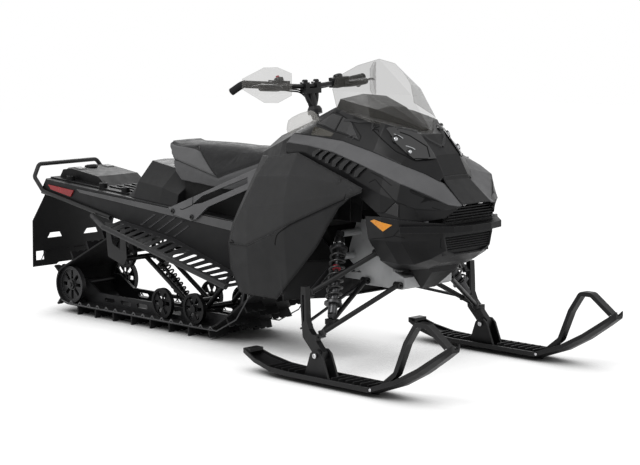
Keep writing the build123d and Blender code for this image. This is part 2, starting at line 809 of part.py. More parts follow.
spring_slack = seat_gap / shock_line.length
skid_slack = seat_gap / hypot(rear_shock_shaft[0] - rear_arm_top[0], rear_shock_shaft[1] - rear_arm_top[1])
with BuildPart() as shock_springs:
    skid_foot = along(rear_shock_shaft, rear_arm_top, skid_spring_low + skid_slack)
    skid_head = along(rear_shock_shaft, rear_arm_top, skid_spring_high - skid_slack)
    add(coil_spring(skid_foot, skid_head, skid_spring_radius, skid_spring_wire, spring_turns))
    for side in (-1, 1):
        spring_foot = on_shock(spring_low + spring_slack, side)
        spring_head = on_shock(spring_high - spring_slack, side)
        add(coil_spring(spring_foot, spring_head, spring_radius, spring_wire, spring_turns))
finish(shock_springs.part, "shock_springs")

# Upper bodywork: one faceted block, shelled and split along its character lines
cowl_sheet = 4
cowl_stations = [
    (402, [(0, 1088), (110, 1082), (262, 1020), (300, 984), (306, 960), (303, 938)]),
    (560, [(0, 1140), (150, 1136), (262, 1014), (316, 978), (326, 950), (323, 922)]),
    (714, [(0, 1106), (185, 1112), (262, 1004), (322, 960), (336, 925), (338, 886)]),
    (878, [(0, 1062), (165, 1080), (240, 963), (322, 918), (340, 850), (338, 790)]),
    (1006, [(0, 1034), (70, 1030), (205, 916), (308, 876), (334, 800), (328, 706)]),
    (1085, [(0, 950), (74, 948), (146, 878), (290, 844), (312, 776), (304, 698)]),
    (1145, [(0, 848), (75, 847), (92, 836), (222, 806), (262, 746), (222, 684)]),
    (1216, [(0, 788), (85, 786), (92, 780), (140, 754), (162, 735), (156, 700)]),
    (1253, [(0, 757), (91, 756), (96, 752), (116, 748), (122, 744), (118, 738)]),
]


def cowl_block(grow):
    """The solid under the upper bodywork, with its skin moved outwards by a distance."""
    sections = []
    for x, points in cowl_stations:
        shifted = [(y + (grow if y > 0 else 0), z + grow) for y, z in points]
        keel = [(shifted[-1][0], 560), (0, 560)]
        sections.append(outline_at(x, full_width(shifted + keel[:1])))
    return loft(sections, ruled=True)


def cowl_line(index):
    """A character line in side view: one point of each station, run on past both ends."""
    line = [(x, points[index][1]) for x, points in cowl_stations]
    return [(line[0][0] - 12, line[0][1]), *line, (line[-1][0] + 12, line[-1][1])]


def above(line, gap=0.0, top=1300):
    """Side outline of all that lies above a line."""
    return side_outline([*[(x, z + gap) for x, z in line], (line[-1][0], top), (line[0][0], top)])


hood_line = cowl_line(2)
flank_line = cowl_line(3)
skirt_line = cowl_line(5)
hood_front_x = 1134
plate_gap = panel_gap / 2
with BuildPart() as cowl_core:
    cowl_block(-cowl_sheet)
    with Locations((402, 0, 800)):
        Box(12, 596, 470)
    with Locations((800, 0, 560)):
        Box(900, 400, 60)

with BuildPart() as cowl_shell:
    cowl_block(0)
    add(cowl_core.part, mode=Mode.SUBTRACT)
    extrude(above(skirt_line), amount=500, both=True, mode=Mode.INTERSECT)

with BuildPart() as plate_zone:
    with BuildSketch(Plane.XY.offset(500)):
        with BuildLine():
            Polyline((hood_front_x, -78), (1300, -93), (1300, 93), (hood_front_x, 78), close=True)
        make_face()
    extrude(amount=600)

with BuildPart() as hood:
    add(cowl_shell.part)
    extrude(above(hood_line, plate_gap), amount=500, both=True, mode=Mode.INTERSECT)
    split(bisect_by=Plane.YZ.offset(hood_front_x - plate_gap), keep=Keep.BOTTOM)
finish(hood.part, "hood")

with BuildPart() as nose_plate:
    add(cowl_shell.part)
    add(plate_zone.part, mode=Mode.INTERSECT)
    split(bisect_by=Plane.YZ.offset(hood_front_x + plate_gap), keep=Keep.TOP)
finish(nose_plate.part, "nose_plate")

with BuildPart() as shoulder_bands:
    add(cowl_shell.part)
    extrude(above(flank_line, plate_gap), amount=500, both=True, mode=Mode.INTERSECT)
    extrude(above(hood_line, -plate_gap), amount=500, both=True, mode=Mode.SUBTRACT)
    with BuildSketch(Plane.XY.offset(500)):
        with BuildLine():
            Polyline(
                (300, -60), (hood_front_x, -78 - panel_gap), (1300, -93 - panel_gap),
                (1300, 93 + panel_gap), (hood_front_x, 78 + panel_gap), (300, 60), close=True,
            )
        make_face()
    extrude(amount=700, mode=Mode.SUBTRACT)
finish(shoulder_bands.part, "shoulder_bands")

with BuildPart() as flanks:
    add(cowl_shell.part)
    extrude(above(flank_line, -plate_gap), amount=500, both=True, mode=Mode.SUBTRACT)
    with Locations((1200, 0, 760)):
        Box(400, 190, 300, mode=Mode.SUBTRACT)
finish(flanks.part, "flanks")

# Side louvres: a row of bent blades on each flank, between its band and the side panel
louvre_count = 7
louvre_start_x = 604
louvre_pitch = 44
louvre_rise = 9
louvre_foot_gap = 14
panel_top_line = [(249, 917), (511, 947), (962, 829)]


def height_on(line, x):
    """Height of a polyline in side view."""
    for (x0, z0), (x1, z1) in zip(line[:-1], line[1:]):
        if x <= x1:
            return z0 + (z1 - z0) * (x - x0) / (x1 - x0)


with BuildPart() as cowl_skin:
    cowl_block(seat_gap)

with BuildPart() as side_louvres:
    cowl_block(louvre_rise)
    with BuildSketch(Plane.XZ) as blades:
        for index in range(louvre_count):
            x = louvre_start_x + index * louvre_pitch
            top = height_on(flank_line, x + 40) - 2
            foot = height_on(panel_top_line, x) + louvre_foot_gap
            knee = foot + 0.62 * (top - foot)
            with BuildLine():
                Polyline(
                    (x, foot),
                    (x + 3, knee),
                    (x + 24, top),
                    (x + 50, top),
                    (x + 26, knee - 8),
                    (x + 18, foot),
                    close=True,
                )
            make_face()
    extrude(blades.sketch, amount=500, both=True, mode=Mode.INTERSECT)
    add(cowl_skin.part, mode=Mode.SUBTRACT)
finish(side_louvres.part, "side_louvres")

# Belly pan: faceted lower nose, open behind, with its front face cut for the lower grille
belly_sheet = 4
belly_stations = [
    (912, [(326, 700), (306, 600), (234, 500), (150, 452)]),
    (1006, [(330, 705), (304, 600), (222, 492), (136, 458)]),
    (1085, [(306, 697), (284, 600), (206, 496), (120, 470)]),
    (1150, [(222, 682.6), (214, 604), (176, 522), (104, 498)]),
    (1206, [(158, 676), (156, 618), (140, 560), (88, 536)]),
]
lower_grille = [(-132, 556), (-146, 618), (146, 618), (132, 556), (84, 542), (-84, 542)]


def belly_block(grow, reach=0):
    """The solid under the belly pan, with its skin moved outwards by a distance."""
    sections = []
    last = len(belly_stations) - 1
    for index, (x, points) in enumerate(belly_stations):
        shift = grow if index == last else 0
        moved = [(y + grow, z - (grow if row > 1 else 0)) for row, (y, z) in enumerate(points)]
        moved = [(moved[0][0], moved[0][1] + reach), *moved[1:]]
        sections.append(outline_at(x + shift, full_width(moved)))
    return loft(sections, ruled=True)


with BuildPart() as belly_core:
    belly_block(-belly_sheet, 20)
    with Locations((910, 0, 590)):
        Box(12, 560, 170)
with BuildPart() as belly_pan:
    belly_block(0)
    add(belly_core.part, mode=Mode.SUBTRACT)
    with BuildSketch(Plane.YZ.offset(1180)):
        with BuildLine():
            Polyline(*lower_grille, close=True)
        make_face()
    extrude(amount=60, mode=Mode.SUBTRACT)
    slat_x = belly_stations[-1][0] - 10
    for z in range(556, 616, 10):
        with Locations((slat_x, 0, z + 2)):
            Box(14, 2 * (137 + (z - 556) * 0.22), 4)
    with Locations((slat_x - 6, 0, 580)):
        Box(4, 292, 88)
    chin_top = belly_stations[1][1][-1][1] + belly_sheet
    chin_back = outline_at(bulkhead_nose_x + seat_gap, full_width([(44, 362), (126, chin_top)]))
    chin_front = outline_at(1066, full_width([(76, 446), (104, chin_top + 10)]))
    loft([chin_back, chin_front], ruled=True)
finish(belly_pan.part, "belly_pan")

with BuildPart() as belly_skin:
    belly_block(seat_gap)

# Front bumper: a lip round the nose between the two grilles
bumper_low_z = 640
bumper_high_z = 668
with BuildPart() as front_bumper:
    with BuildSketch(Plane.XY.offset(bumper_low_z)):
        with BuildLine():
            Polyline(
                (1100, -312), (1165, -238), (1262, -150), (1284, -60), (1284, 60), (1262, 150), (1165, 238),
                (1100, 312), (1080, 270), (1130, 200), (1180, 130), (1180, -130), (1130, -200), (1080, -270),
                close=True,
            )
        make_face()
    extrude(amount=bumper_high_z - bumper_low_z)
    add(belly_skin.part, mode=Mode.SUBTRACT)
finish(front_bumper.part, "front_bumper")

# Upper grille: slats across the nose above the bumper, standing on the belly pan's front wall
upper_grille_x = belly_stations[-1][0] - 2
upper_grille_foot = belly_stations[-1][1][0][1] + panel_gap
with BuildPart() as upper_grille:
    back_x = upper_grille_x - 11
    forward = (Align.MIN, Align.CENTER, Align.MIN)
    with Locations((back_x, 0, upper_grille_foot)):
        Box(5, 292, 64, align=forward)
    for index in range(6):
        with Locations((back_x, 0, upper_grille_foot + index * 12)):
            Box(20 + index * 3, 2 * (150 - index * 6), 4, align=forward)
finish(upper_grille.part, "upper_grille")

# Side panels: a bulged skin on each side, split into an upper panel and a footwell panel
pod_sheet = 4
pod_stations = [
    (60, [(296, 940), (350, 826), (380, 690), (384, 520), (376, 280)]),
    (250, [(306, 930), (364, 826), (404, 690), (410, 520), (388, 280)]),
    (511, [(332, 955), (392, 850), (424, 730), (424, 590), (398, 300)]),
    (760, [(352, 905), (402, 840), (422, 775), (414, 660), (372, 420)]),
    (990, [(372, 850), (396, 832), (402, 812), (384, 740), (330, 560)]),
]
pod_seam = [(87, 517), (257, 522), (966, 810)]
seam_z = pod_seam[0][1]
upper_rear_edge = [(87, seam_z + plate_gap, 30), (120, 610, 30), (173, 686, 36), (249, 917, 60)]
lower_rear_edge = [(152, 297, 36), (90, 400, 32), (87, seam_z - plate_gap, 30)]
bevel_drop = 20
bevel_lap = 3
upper_panel_line = [*panel_top_line[1:]]
upper_panel_line += [(x, z + plate_gap) for x, z in reversed(pod_seam[1:])]
upper_panel_line += [(x + width, z) for x, z, width in upper_rear_edge]
lower_panel_line = [(x + width, z) for x, z, width in lower_rear_edge]
lower_panel_line += [(x, z - plate_gap) for x, z in pod_seam[1:2]]
lower_panel_line += [(900, 783 - plate_gap), (836, 735), (700, 560), (560, 420), (430, 297)]
peg_places = [(905, 812, 404), (820, 846, 394)]


def pod_skin():
    """The bulged skin of the left side, before it is trimmed to its outlines."""
    return sheet_loft(pod_stations, (-pod_sheet, 0))


def pod_y(x, z):
    """Distance of the pod skin from the centre plane at a place in side view."""
    for (x0, rear), (x1, front) in zip(pod_stations[:-1], pod_stations[1:]):
        if x <= x1:
            break
    share = (x - x0) / (x1 - x0)
    rows = [(a[0] + (b[0] - a[0]) * share, a[1] + (b[1] - a[1]) * share) for a, b in zip(rear, front)]
    for (y0, z0), (y1, z1) in zip(rows[:-1], rows[1:]):
        if z >= z1:
            break
    return y0 + (y1 - y0) * (z - z0) / (z1 - z0)


def rear_bevel(edge):
    """The turned-in rear border of a panel, through (x, z, width) places from the lowest up."""
    sections = []
    for x, z, width in edge:
        front = pod_y(x + width, z)
        rear = front - bevel_drop
        with BuildSketch(Plane.XY.offset(z)) as section:
            with BuildLine():
                Polyline(
                    (x, rear),
                    (x + width + bevel_lap, front),
                    (x + width + bevel_lap, front - pod_sheet),
                    (x, rear - pod_sheet),
                    close=True,
                )
            make_face()
        sections.append(section.sketch)
    loft(sections, ruled=True)


with BuildPart() as side_panels:
    pod_skin()
    extrude(side_outline(upper_panel_line), amount=600, both=True, mode=Mode.INTERSECT)
    rear_bevel(upper_rear_edge)
    for x, z, reach in peg_places:
        bar((x, 300, z), (x, reach, z), 8)
    add(cowl_skin.part, mode=Mode.SUBTRACT)
    mirror(about=Plane.XZ)
finish(side_panels.part, "side_panels")

# The footwell panel turns inwards at its front end, behind the suspension
toe_x = 470
toe_end_x = 600
with BuildPart() as footwell_panels:
    pod_skin()
    extrude(side_outline(lower_panel_line), amount=600, both=True, mode=Mode.INTERSECT)
    rear_bevel(lower_rear_edge)
    toe_outer = 396
    toe_inner = cradle_half_width + seat_gap
    with BuildSketch(Plane.XY.offset(300)):
        with BuildLine():
            Polyline(
                (toe_x, toe_outer), (toe_x + pod_sheet, toe_outer), (toe_end_x + pod_sheet, toe_inner),
                (toe_end_x, toe_inner), close=True,
            )
        make_face()
    extrude(amount=170)
    mirror(about=Plane.XZ)
finish(footwell_panels.part, "footwell_panels")

# Console between the seat and the hood
with BuildPart() as console:
    console_stations = [
        (118.6, [(0, 988), (62, 984), (182, 915), (204, 850), (204, 640)]),
        (330, [(0, 1058), (92, 1054), (250, 985), (282, 900), (282, 640)]),
        (401.5, [(0, 1084), (108, 1078), (258, 1014), (296, 930), (296, 640)]),
    ]
    loft([outline_at(x, full_width(points)) for x, points in console_stations], ruled=True)
    bar(on_column(-200), on_column(500), column_radius + 8, mode=Mode.SUBTRACT)
finish(console.part, "console")

# Windshield: a creased clear sheet rising from the hood's ridges
glass_sheet = 3.5


def sloped_strip(low, high, half_points):
    """A strip across the machine in a plane that slopes from a low front point to a high rear one."""
    back = Vector(high[0] - low[0], 0, high[1] - low[1]).normalized()
    across = Vector(0, 1, 0)
    plane = Plane(origin=(low[0], 0, low[1]), x_dir=across, z_dir=across.cross(back) * -1)
    sign = 1 if plane.y_dir.dot(back) > 0 else -1
    outer = [(y, sign * run) for y, run in full_width(half_points)]
    inner = [(y, run + sign * glass_sheet) for y, run in reversed(outer)]
    inner[0] = (inner[0][0] - glass_sheet, outer[-1][1])
    inner[-1] = (inner[-1][0] + glass_sheet, outer[0][1])
    with BuildSketch(plane) as strip:
        with BuildLine():
            Polyline(*outer, *inner, close=True)
        make_face()
    return strip.sketch


with BuildPart() as windshield:
    foot = sloped_strip((1004, 1032), (664, 1140), [(0, 0), (206, 182), (246, 356)])
    waist = sloped_strip((866, 1204), (642, 1222), [(0, 0), (170, 92), (248, 225)])
    brow = sloped_strip((684, 1347), (632, 1272), [(0, 0), (118, 30), (218, 91)])
    loft([foot, waist, brow], ruled=True)
    add(cowl_skin.part, mode=Mode.SUBTRACT)
finish(windshield.part, "windshield")

# Dash under the windshield
with BuildPart() as dash:
    dash_stations = [
        (586, [(0, 1190), (144, 1174), (176, 1122), (176, 1060)]),
        (760, [(0, 1142), (94, 1132), (146, 1090), (146, 1020)]),
        (870, [(0, 1096), (44, 1090), (64, 1078), (64, 1010)]),
        (956, [(0, 1056), (16, 1054), (26, 1046), (26, 1000)]),
    ]
    loft([outline_at(x, full_width(points)) for x, points in dash_stations], ruled=True)
    add(cowl_skin.part, mode=Mode.SUBTRACT)
finish(dash.part, "dash")

# Headlights: a faceted lens on each side, proud of the hood's front slope
with BuildPart() as headlights:
    cowl_block(7)
    lamp_line = [(884, 1072), (1000, 1044), (1054, 995), (1100, 940), (1044, 934), (952, 1000)]
    extrude(side_outline(lamp_line), amount=244, both=True, mode=Mode.INTERSECT)
    with BuildSketch(Plane.XY.offset(800)):
        with BuildLine():
            Polyline((956, 78), (1120, 78), (1120, 250), (858, 250), (862, 226), (908, 150), close=True)
        make_face()
        mirror(about=Plane.XZ)
    extrude(amount=400, mode=Mode.INTERSECT)
    add(cowl_skin.part, mode=Mode.SUBTRACT)
finish(headlights.part, "headlights")

# Side reflectors on the belly pan's upper facet
with BuildPart() as reflectors:
    belly_block(3)
    reflector_line = [(944, 682), (968, 690), (1056, 672), (1008, 642)]
    extrude(side_outline(reflector_line), amount=400, both=True, mode=Mode.INTERSECT)
    add(belly_skin.part, mode=Mode.SUBTRACT)
finish(reflectors.part, "reflectors")

# Spindles: forged uprights that turn about the raked steering axis
spindle_inner_y = 511
spindle_thickness = 30
ski_y = ski_stance / 2
ski_bolt = (846, 122)
ski_bolt_radius = 8
steer_arm = 75
tie_spread = 18
pin_radius = 6
rod_eye_radius = 11
rod_eye_width = 12
lug_thickness = 8
steer_point = (791.6, 490, 262)
spindle_outline = [
    (740, 404), (764, 404), (768, 330), (770, 262), (786, 226), (868, 138), (866, 104), (828, 104),
    (796, 140), (748, 188), (742, 250), (736, 330),
]


def across_rake(centre, forward, across, up):
    """Working plane square to the steering axis at an offset from a point."""
    return Plane(origin=rake_offset(centre, forward, across, up), x_dir=tuple(rake_forward), z_dir=steer_axis)


with BuildPart() as spindle_left:
    with BuildSketch(Plane.XZ.offset(-spindle_inner_y)):
        with BuildLine():
            Polyline(*spindle_outline, close=True)
        make_face()
        with BuildLine():
            Polyline((747, 370), (757, 370), (759, 262), (754, 250), (750, 262), close=True)
        make_face(mode=Mode.SUBTRACT)
    extrude(amount=-spindle_thickness)
    lug_drop = -ball_width / 2 - lug_thickness / 2 - 1
    lug_reach = spindle_inner_y + 14 - lower_ball[1]
    for ball in (upper_ball, lower_ball):
        pin_foot = rake_offset(ball, 0, 0, lug_drop)
        pin_top = rake_offset(ball, 0, 0, ball_width / 2)
        bar(pin_foot, pin_top, ball_bore - seat_gap)
        with Locations(across_rake(ball, 0, 0, lug_drop)):
            Cylinder(12, lug_thickness)
        with Locations(across_rake(ball, 0, lug_reach / 2, lug_drop)):
            Box(24, lug_reach, lug_thickness)
    with Locations((lower_ball[0] - 14, spindle_inner_y + spindle_thickness / 2, 188)):
        Box(54, spindle_thickness, 34)
    arm_drop = -rod_eye_width / 2 - lug_thickness / 2 - 1
    pin_foot = rake_offset(steer_point, -steer_arm, tie_spread, arm_drop)
    pin_top = rake_offset(steer_point, -steer_arm, tie_spread, rod_eye_width / 2 + 3)
    bar(pin_foot, pin_top, pin_radius)
    with Locations(across_rake(steer_point, -steer_arm + 17, tie_spread + 5, arm_drop)):
        Box(56, 26, lug_thickness)
    with Locations(Plane(origin=(ski_bolt[0], ski_y, ski_bolt[1]), z_dir=(0, 1, 0))):
        Cylinder(20, 44)
        Cylinder(ski_bolt_radius + seat_gap, 60, mode=Mode.SUBTRACT)
finish(spindle_left.part, "spindle_left")
with BuildPart() as spindle_right:
    mirror(spindle_left.part, about=Plane.XZ)
finish(spindle_right.part, "spindle_right")

# Skis: moulded channel with a steel runner, a saddle, a front loop and a raised tail tab
runner_radius = 5
keel_z = 2 * runner_radius - 1
ski_sheet = 8
ski_rim = 20
ski_stations = [
    (396, 40, 66),
    (480, 56, 36),
    (590, 68, 14),
    (700, ski_half_width, keel_z),
    (1190, ski_half_width, keel_z),
    (1330, 68, 58),
    (1450, 58, 122),
    (1560, 42, 196),
    (front_end_x, 24, 232),
]
saddle_line = [(770, 14), (812, 128), (834, 146), (858, 146), (880, 128), (925, 14)]


def ski_section(x, half_width, keel):
    """Channel section: shallow V keel, flat floor and two rims."""
    edge = keel + 12
    outer = [(20, keel), (half_width, edge), (half_width, edge + ski_rim)]
    inner = [
        (half_width - ski_sheet, edge + ski_rim), (half_width - ski_sheet, edge + ski_sheet),
        (14, keel + ski_sheet + 4),
    ]
    half = outer + inner
    port = [(ski_y + y, z) for y, z in half]
    starboard = [(ski_y - y, z) for y, z in reversed(half)]
    return outline_at(x, port + starboard)


with BuildPart() as ski_left:
    loft([ski_section(*station) for station in ski_stations], ruled=True)
    bar((690, ski_y, runner_radius), (1186, ski_y, runner_radius), runner_radius)
    with BuildLine(Plane.XZ.offset(-ski_y)) as loop_line:
        FilletPolyline(
            (1188, 24), (1292, 104), (1350, 238), (1408, 322), (1466, 322), (1598, 228), radius=26,
        )
    with BuildSketch(Plane(loop_line.line @ 0, x_dir=(0, 1, 0), z_dir=loop_line.line % 0)):
        Rectangle(36, 20)
    sweep(path=loop_line.line)
    for side in (-1, 1):
        extrude(side_outline(saddle_line, ski_y + side * 28), amount=5, both=True)
    bolt_reach = 40
    bolt_x, bolt_z = ski_bolt
    bar((bolt_x, ski_y - bolt_reach, bolt_z), (bolt_x, ski_y + bolt_reach, bolt_z), ski_bolt_radius)
    with Locations((418, ski_y, 92)):
        Box(44, 76, 14)
    for x in [*range(570, 740, 42), *range(960, 1180, 42)]:
        with Locations((x, ski_y, keel_z + 24)):
            Box(4, 2 * ski_half_width - 40, 28)
finish(ski_left.part, "ski_left")
with BuildPart() as ski_right:
    mirror(ski_left.part, about=Plane.XZ)
finish(ski_right.part, "ski_right")

# Pitman arm and tie rods: a parallelogram in planes square to the steering axes
spindle_pin = rake_offset(steer_point, -steer_arm, tie_spread, 0)
pitman_pin = rake_offset(pitman_point, -steer_arm, tie_spread, 0)
pitman_rise = rod_eye_width / 2 + 5
with BuildPart() as pitman_arm:
    with BuildSketch(across_rake(pitman_point, 0, 0, pitman_rise)):
        with BuildLine():
            Polyline((14, -12), (14, 12), (-71, 30), (-86, 24), (-86, -24), (-71, -30), close=True)
        make_face()
    extrude(amount=lug_thickness)
    for side in (-1, 1):
        low = rake_offset(pitman_point, -steer_arm, side * tie_spread, -rod_eye_width / 2 - 3)
        high = rake_offset(pitman_point, -steer_arm, side * tie_spread, pitman_rise + 2)
        bar(low, high, pin_radius)
    collar_top = pitman_seat - beam_thickness / 2 - seat_gap
    shaft_top = pitman_seat + beam_thickness / 2 + 8
    shaft_foot = rake_offset(pitman_point, 0, 0, pitman_rise)
    bar(shaft_foot, rake_offset(pitman_point, 0, 0, collar_top), 14)
    bar(shaft_foot, rake_offset(pitman_point, 0, 0, shaft_top), pitman_shaft_radius)
finish(pitman_arm.part, "pitman_arm")

with BuildPart() as tie_rod_left:
    run = (Vector(*pitman_pin) - Vector(*spindle_pin)).normalized() * 9
    bar(tuple(Vector(*spindle_pin) + run), tuple(Vector(*pitman_pin) - run), 7)
    for pin in (spindle_pin, pitman_pin):
        eye(pin, steer_axis, rod_eye_radius, pin_radius + seat_gap, rod_eye_width)
finish(tie_rod_left.part, "tie_rod_left")
with BuildPart() as tie_rod_right:
    mirror(tie_rod_left.part, about=Plane.XZ)
finish(tie_rod_right.part, "tie_rod_right")

# Handlebar: one bent tube with hooked ends
bar_half = [(bar_centre[0], 60, bar_centre[2]), (238, 240, 1226), (207, 376, 1236), (158, 396, 1203)]
bar_route = [(x, -y, z) for x, y, z in reversed(bar_half)] + bar_half
with BuildPart() as handlebar:
    with BuildLine() as handlebar_line:
        FilletPolyline(*bar_route, radius=22)
    with BuildSketch(Plane(handlebar_line.line @ 0, z_dir=handlebar_line.line % 0)):
        Circle(bar_radius)
    sweep(path=handlebar_line.line)
finish(handlebar.part, "handlebar")


def between(start, end, share):
    """Point part of the way along a straight run."""
    return tuple(Vector(*start) + (Vector(*end) - Vector(*start)) * share)


def sleeve(start, end, radius, bore):
    """A tube round a straight run."""
    bar(start, end, radius)
    run = (Vector(*end) - Vector(*start)).normalized()
    bar(tuple(Vector(*start) - run), tuple(Vector(*end) + run), bore, mode=Mode.SUBTRACT)


grip_radius = 17
with BuildPart() as grips:
    for side in (-1, 1):
        inner = (bar_half[1][0], side * bar_half[1][1], bar_half[1][2])
        outer = (bar_half[2][0], side * bar_half[2][1], bar_half[2][2])
        sleeve(between(inner, outer, 0.12), between(inner, outer, 0.9), grip_radius, bar_radius + seat_gap)
finish(grips.part, "grips")

with BuildPart() as switch_blocks:
    for side in (-1, 1):
        inner = (bar_half[0][0], side * bar_half[0][1], bar_half[0][2])
        outer = (bar_half[1][0], side * bar_half[1][1], bar_half[1][2])
        run = (Vector(*outer) - Vector(*inner)).normalized()
        centre = between(inner, outer, 0.72)
        with Locations(Plane(origin=centre, x_dir=(0, 0, 1), z_dir=tuple(run))):
            Box(46, 52, 84)
            Cylinder(bar_radius + seat_gap, 100, mode=Mode.SUBTRACT)
finish(switch_blocks.part, "switch_blocks")

# Steering column with its riser and bar clamps
with BuildPart() as steering_column:
    bar(on_column(0), on_column(column_length), column_radius)
    with Locations(on_column(0)):
        Sphere(18)
    bar_x, bar_y, bar_z = bar_centre
    bar(on_column(0), (bar_x + 4, 0, bar_z - 33), 17)
    with Locations((bar_x + 2, 0, bar_z - 21)):
        Box(40, 96, 24)
    for side in (-1, 1):
        with Locations((bar_x, side * 35, bar_z - 4)):
            Box(40, 24, 44)
    bar((bar_x, -80, bar_z), (bar_x, 80, bar_z), bar_radius + seat_gap, mode=Mode.SUBTRACT)
finish(steering_column.part, "steering_column")

# Hand guards: clear bent shields ahead of the grips, on their arms
guard_sheet = 3
guard_stations = [
    ((240, 412), 1216, 1262),
    ((318, 352), 1156, 1312),
    ((352, 300), 1154, 1312),
    ((384, 246), 1186, 1284),
]
with BuildPart() as hand_guards:
    for side in (-1, 1):
        panes = []
        for (x, y), low, high in guard_stations:
            face = Plane(origin=(x, side * y, 0), x_dir=(0.83, side * 0.55, 0), z_dir=(-0.55, side * 0.83, 0))
            with BuildSketch(face) as pane:
                with BuildLine():
                    sign = 1 if face.y_dir.Z > 0 else -1
                    Polyline(
                        (0, sign * low),
                        (guard_sheet, sign * low),
                        (guard_sheet, sign * high),
                        (0, sign * high),
                        close=True,
                    )
                make_face()
            panes.append(pane.sketch)
        loft(panes, ruled=True)
        inner = (bar_half[1][0], side * bar_half[1][1], bar_half[1][2])
        outer = (bar_half[2][0], side * bar_half[2][1], bar_half[2][2])
        clamp_start = between(inner, outer, 0.022)
        clamp_end = between(inner, outer, 0.1)
        start = Vector(*between(inner, outer, 0.06)) + Vector(13, 0, 1)
        bar(tuple(start), (384.5, side * 248, 1235), 5)
        sleeve(clamp_start, clamp_end, 16, bar_radius + seat_gap)
finish(hand_guards.part, "hand_guards")
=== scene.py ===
"""The looks of a snowmobile: finishes, soft seat, lamps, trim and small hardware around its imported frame."""

import json
import math

import bmesh
import bpy
from mathutils import Matrix, Vector
from mathutils.bvhtree import BVHTree
from mathutils.kdtree import KDTree


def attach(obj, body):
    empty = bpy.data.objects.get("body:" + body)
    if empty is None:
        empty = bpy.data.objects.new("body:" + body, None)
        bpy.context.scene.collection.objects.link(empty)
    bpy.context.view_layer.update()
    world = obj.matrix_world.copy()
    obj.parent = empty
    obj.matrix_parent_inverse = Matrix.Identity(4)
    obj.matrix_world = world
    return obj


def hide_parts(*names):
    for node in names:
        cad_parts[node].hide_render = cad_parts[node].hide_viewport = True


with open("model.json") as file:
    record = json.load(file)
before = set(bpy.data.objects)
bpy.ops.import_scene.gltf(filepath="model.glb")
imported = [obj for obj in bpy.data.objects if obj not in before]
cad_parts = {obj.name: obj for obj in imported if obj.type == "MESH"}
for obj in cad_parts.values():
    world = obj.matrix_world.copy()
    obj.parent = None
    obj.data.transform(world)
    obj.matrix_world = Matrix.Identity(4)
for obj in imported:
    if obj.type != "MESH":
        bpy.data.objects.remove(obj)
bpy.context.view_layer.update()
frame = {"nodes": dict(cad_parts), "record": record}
nodes = frame["nodes"]
scene = bpy.context.scene

# Camera: the photograph's viewpoint, in metres and degrees
CAMERA_PLACE = Vector((6.7425, -6.23, 1.726))
CAMERA_AZIMUTH = 45.958
CAMERA_PITCH = 7.515
CAMERA_ROLL = -0.509
FOCAL_PIXELS = 1973.8
PHOTO_WIDTH = 640
SENSOR_MM = 36


def make_camera():
    """The camera at the photograph's angle."""
    azimuth, pitch, roll = (math.radians(v) for v in (CAMERA_AZIMUTH, CAMERA_PITCH, CAMERA_ROLL))
    ahead = Vector((-math.sin(azimuth) * math.cos(pitch), math.cos(azimuth) * math.cos(pitch), -math.sin(pitch)))
    right = Vector((math.cos(azimuth), math.sin(azimuth), 0))
    up = right.cross(ahead)
    rolled_right = right * math.cos(roll) + up * math.sin(roll)
    rolled_up = up * math.cos(roll) - right * math.sin(roll)
    data = bpy.data.cameras.new("camera")
    data.sensor_fit = "HORIZONTAL"
    data.sensor_width = SENSOR_MM
    data.lens = FOCAL_PIXELS / PHOTO_WIDTH * SENSOR_MM
    data.clip_end = 100
    camera = bpy.data.objects.new("camera", data)
    scene.collection.objects.link(camera)
    turn = Matrix((rolled_right, rolled_up, -ahead)).transposed().to_4x4()
    camera.matrix_world = Matrix.Translation(CAMERA_PLACE) @ turn
    scene.camera = camera


# Node helpers

NOISE_ROUGHNESS = 0.55
CORNER_SAMPLES = 4
ROUND_SAMPLES = 6
EDGE_SPAN = (0.955, 0.80)
PATCH_RANGE = 0.14
GRAIN_STRENGTH = 0.35
COAT_ROUGHNESS = 0.18
RIM_RADIUS = 0.004
RIM_SPAN = (0.93, 0.7)
RIM_HIGHLIGHT_DENSITY = 2.2
GLASS_ROUGHNESS = (0.2, 0.25)
GLASS_IOR = 1.49
GLASS_GLOSS = 0.15
NOISE_SPAN = (0.3, 0.7)
MIX_FIRST, MIX_SECOND, MIX_RESULT = 6, 7, 2


def new_material(name):
    """An empty node material with its tree, shader and output."""
    material = bpy.data.materials.new(name)
    material.use_nodes = True
    tree = material.node_tree
    shader = tree.nodes["Principled BSDF"]
    return material, tree, shader


def add_node(tree, kind, **settings):
    """A node with its properties and its inputs' values set by name."""
    node = tree.nodes.new(kind)
    for key, value in settings.items():
        if key in node.inputs:
            node.inputs[key].default_value = value
        else:
            setattr(node, key, value)
    return node


def object_point(tree):
    """Object coordinates, which are the frame's metres."""
    return tree.nodes.new("ShaderNodeTexCoord").outputs["Object"]


def noise(tree, scale, detail):
    """A noise field's factor."""
    node = add_node(tree, "ShaderNodeTexNoise", Scale=scale, Detail=detail, Roughness=NOISE_ROUGHNESS)
    tree.links.new(object_point(tree), node.inputs["Vector"])
    return node.outputs["Fac"]


def ramp(tree, factor, stops):
    """A colour ramp over a factor: stops are (place, colour)."""
    node = tree.nodes.new("ShaderNodeValToRGB")
    elements = node.color_ramp.elements
    while len(elements) < len(stops):
        elements.new(0.5)
    for element, (place, colour) in zip(elements, stops):
        element.position = place
        element.color = (*colour, 1)
    tree.links.new(factor, node.inputs["Fac"])
    return node.outputs["Color"]


def ranged(tree, value, span, low, high):
    """A value that goes from low to high over a span of a socket's values."""
    node = tree.nodes.new("ShaderNodeMapRange")
    for key, number in zip(("From Min", "From Max", "To Min", "To Max"), (*span, low, high)):
        node.inputs[key].default_value = number
    tree.links.new(value, node.inputs["Value"])
    return node.outputs["Result"]


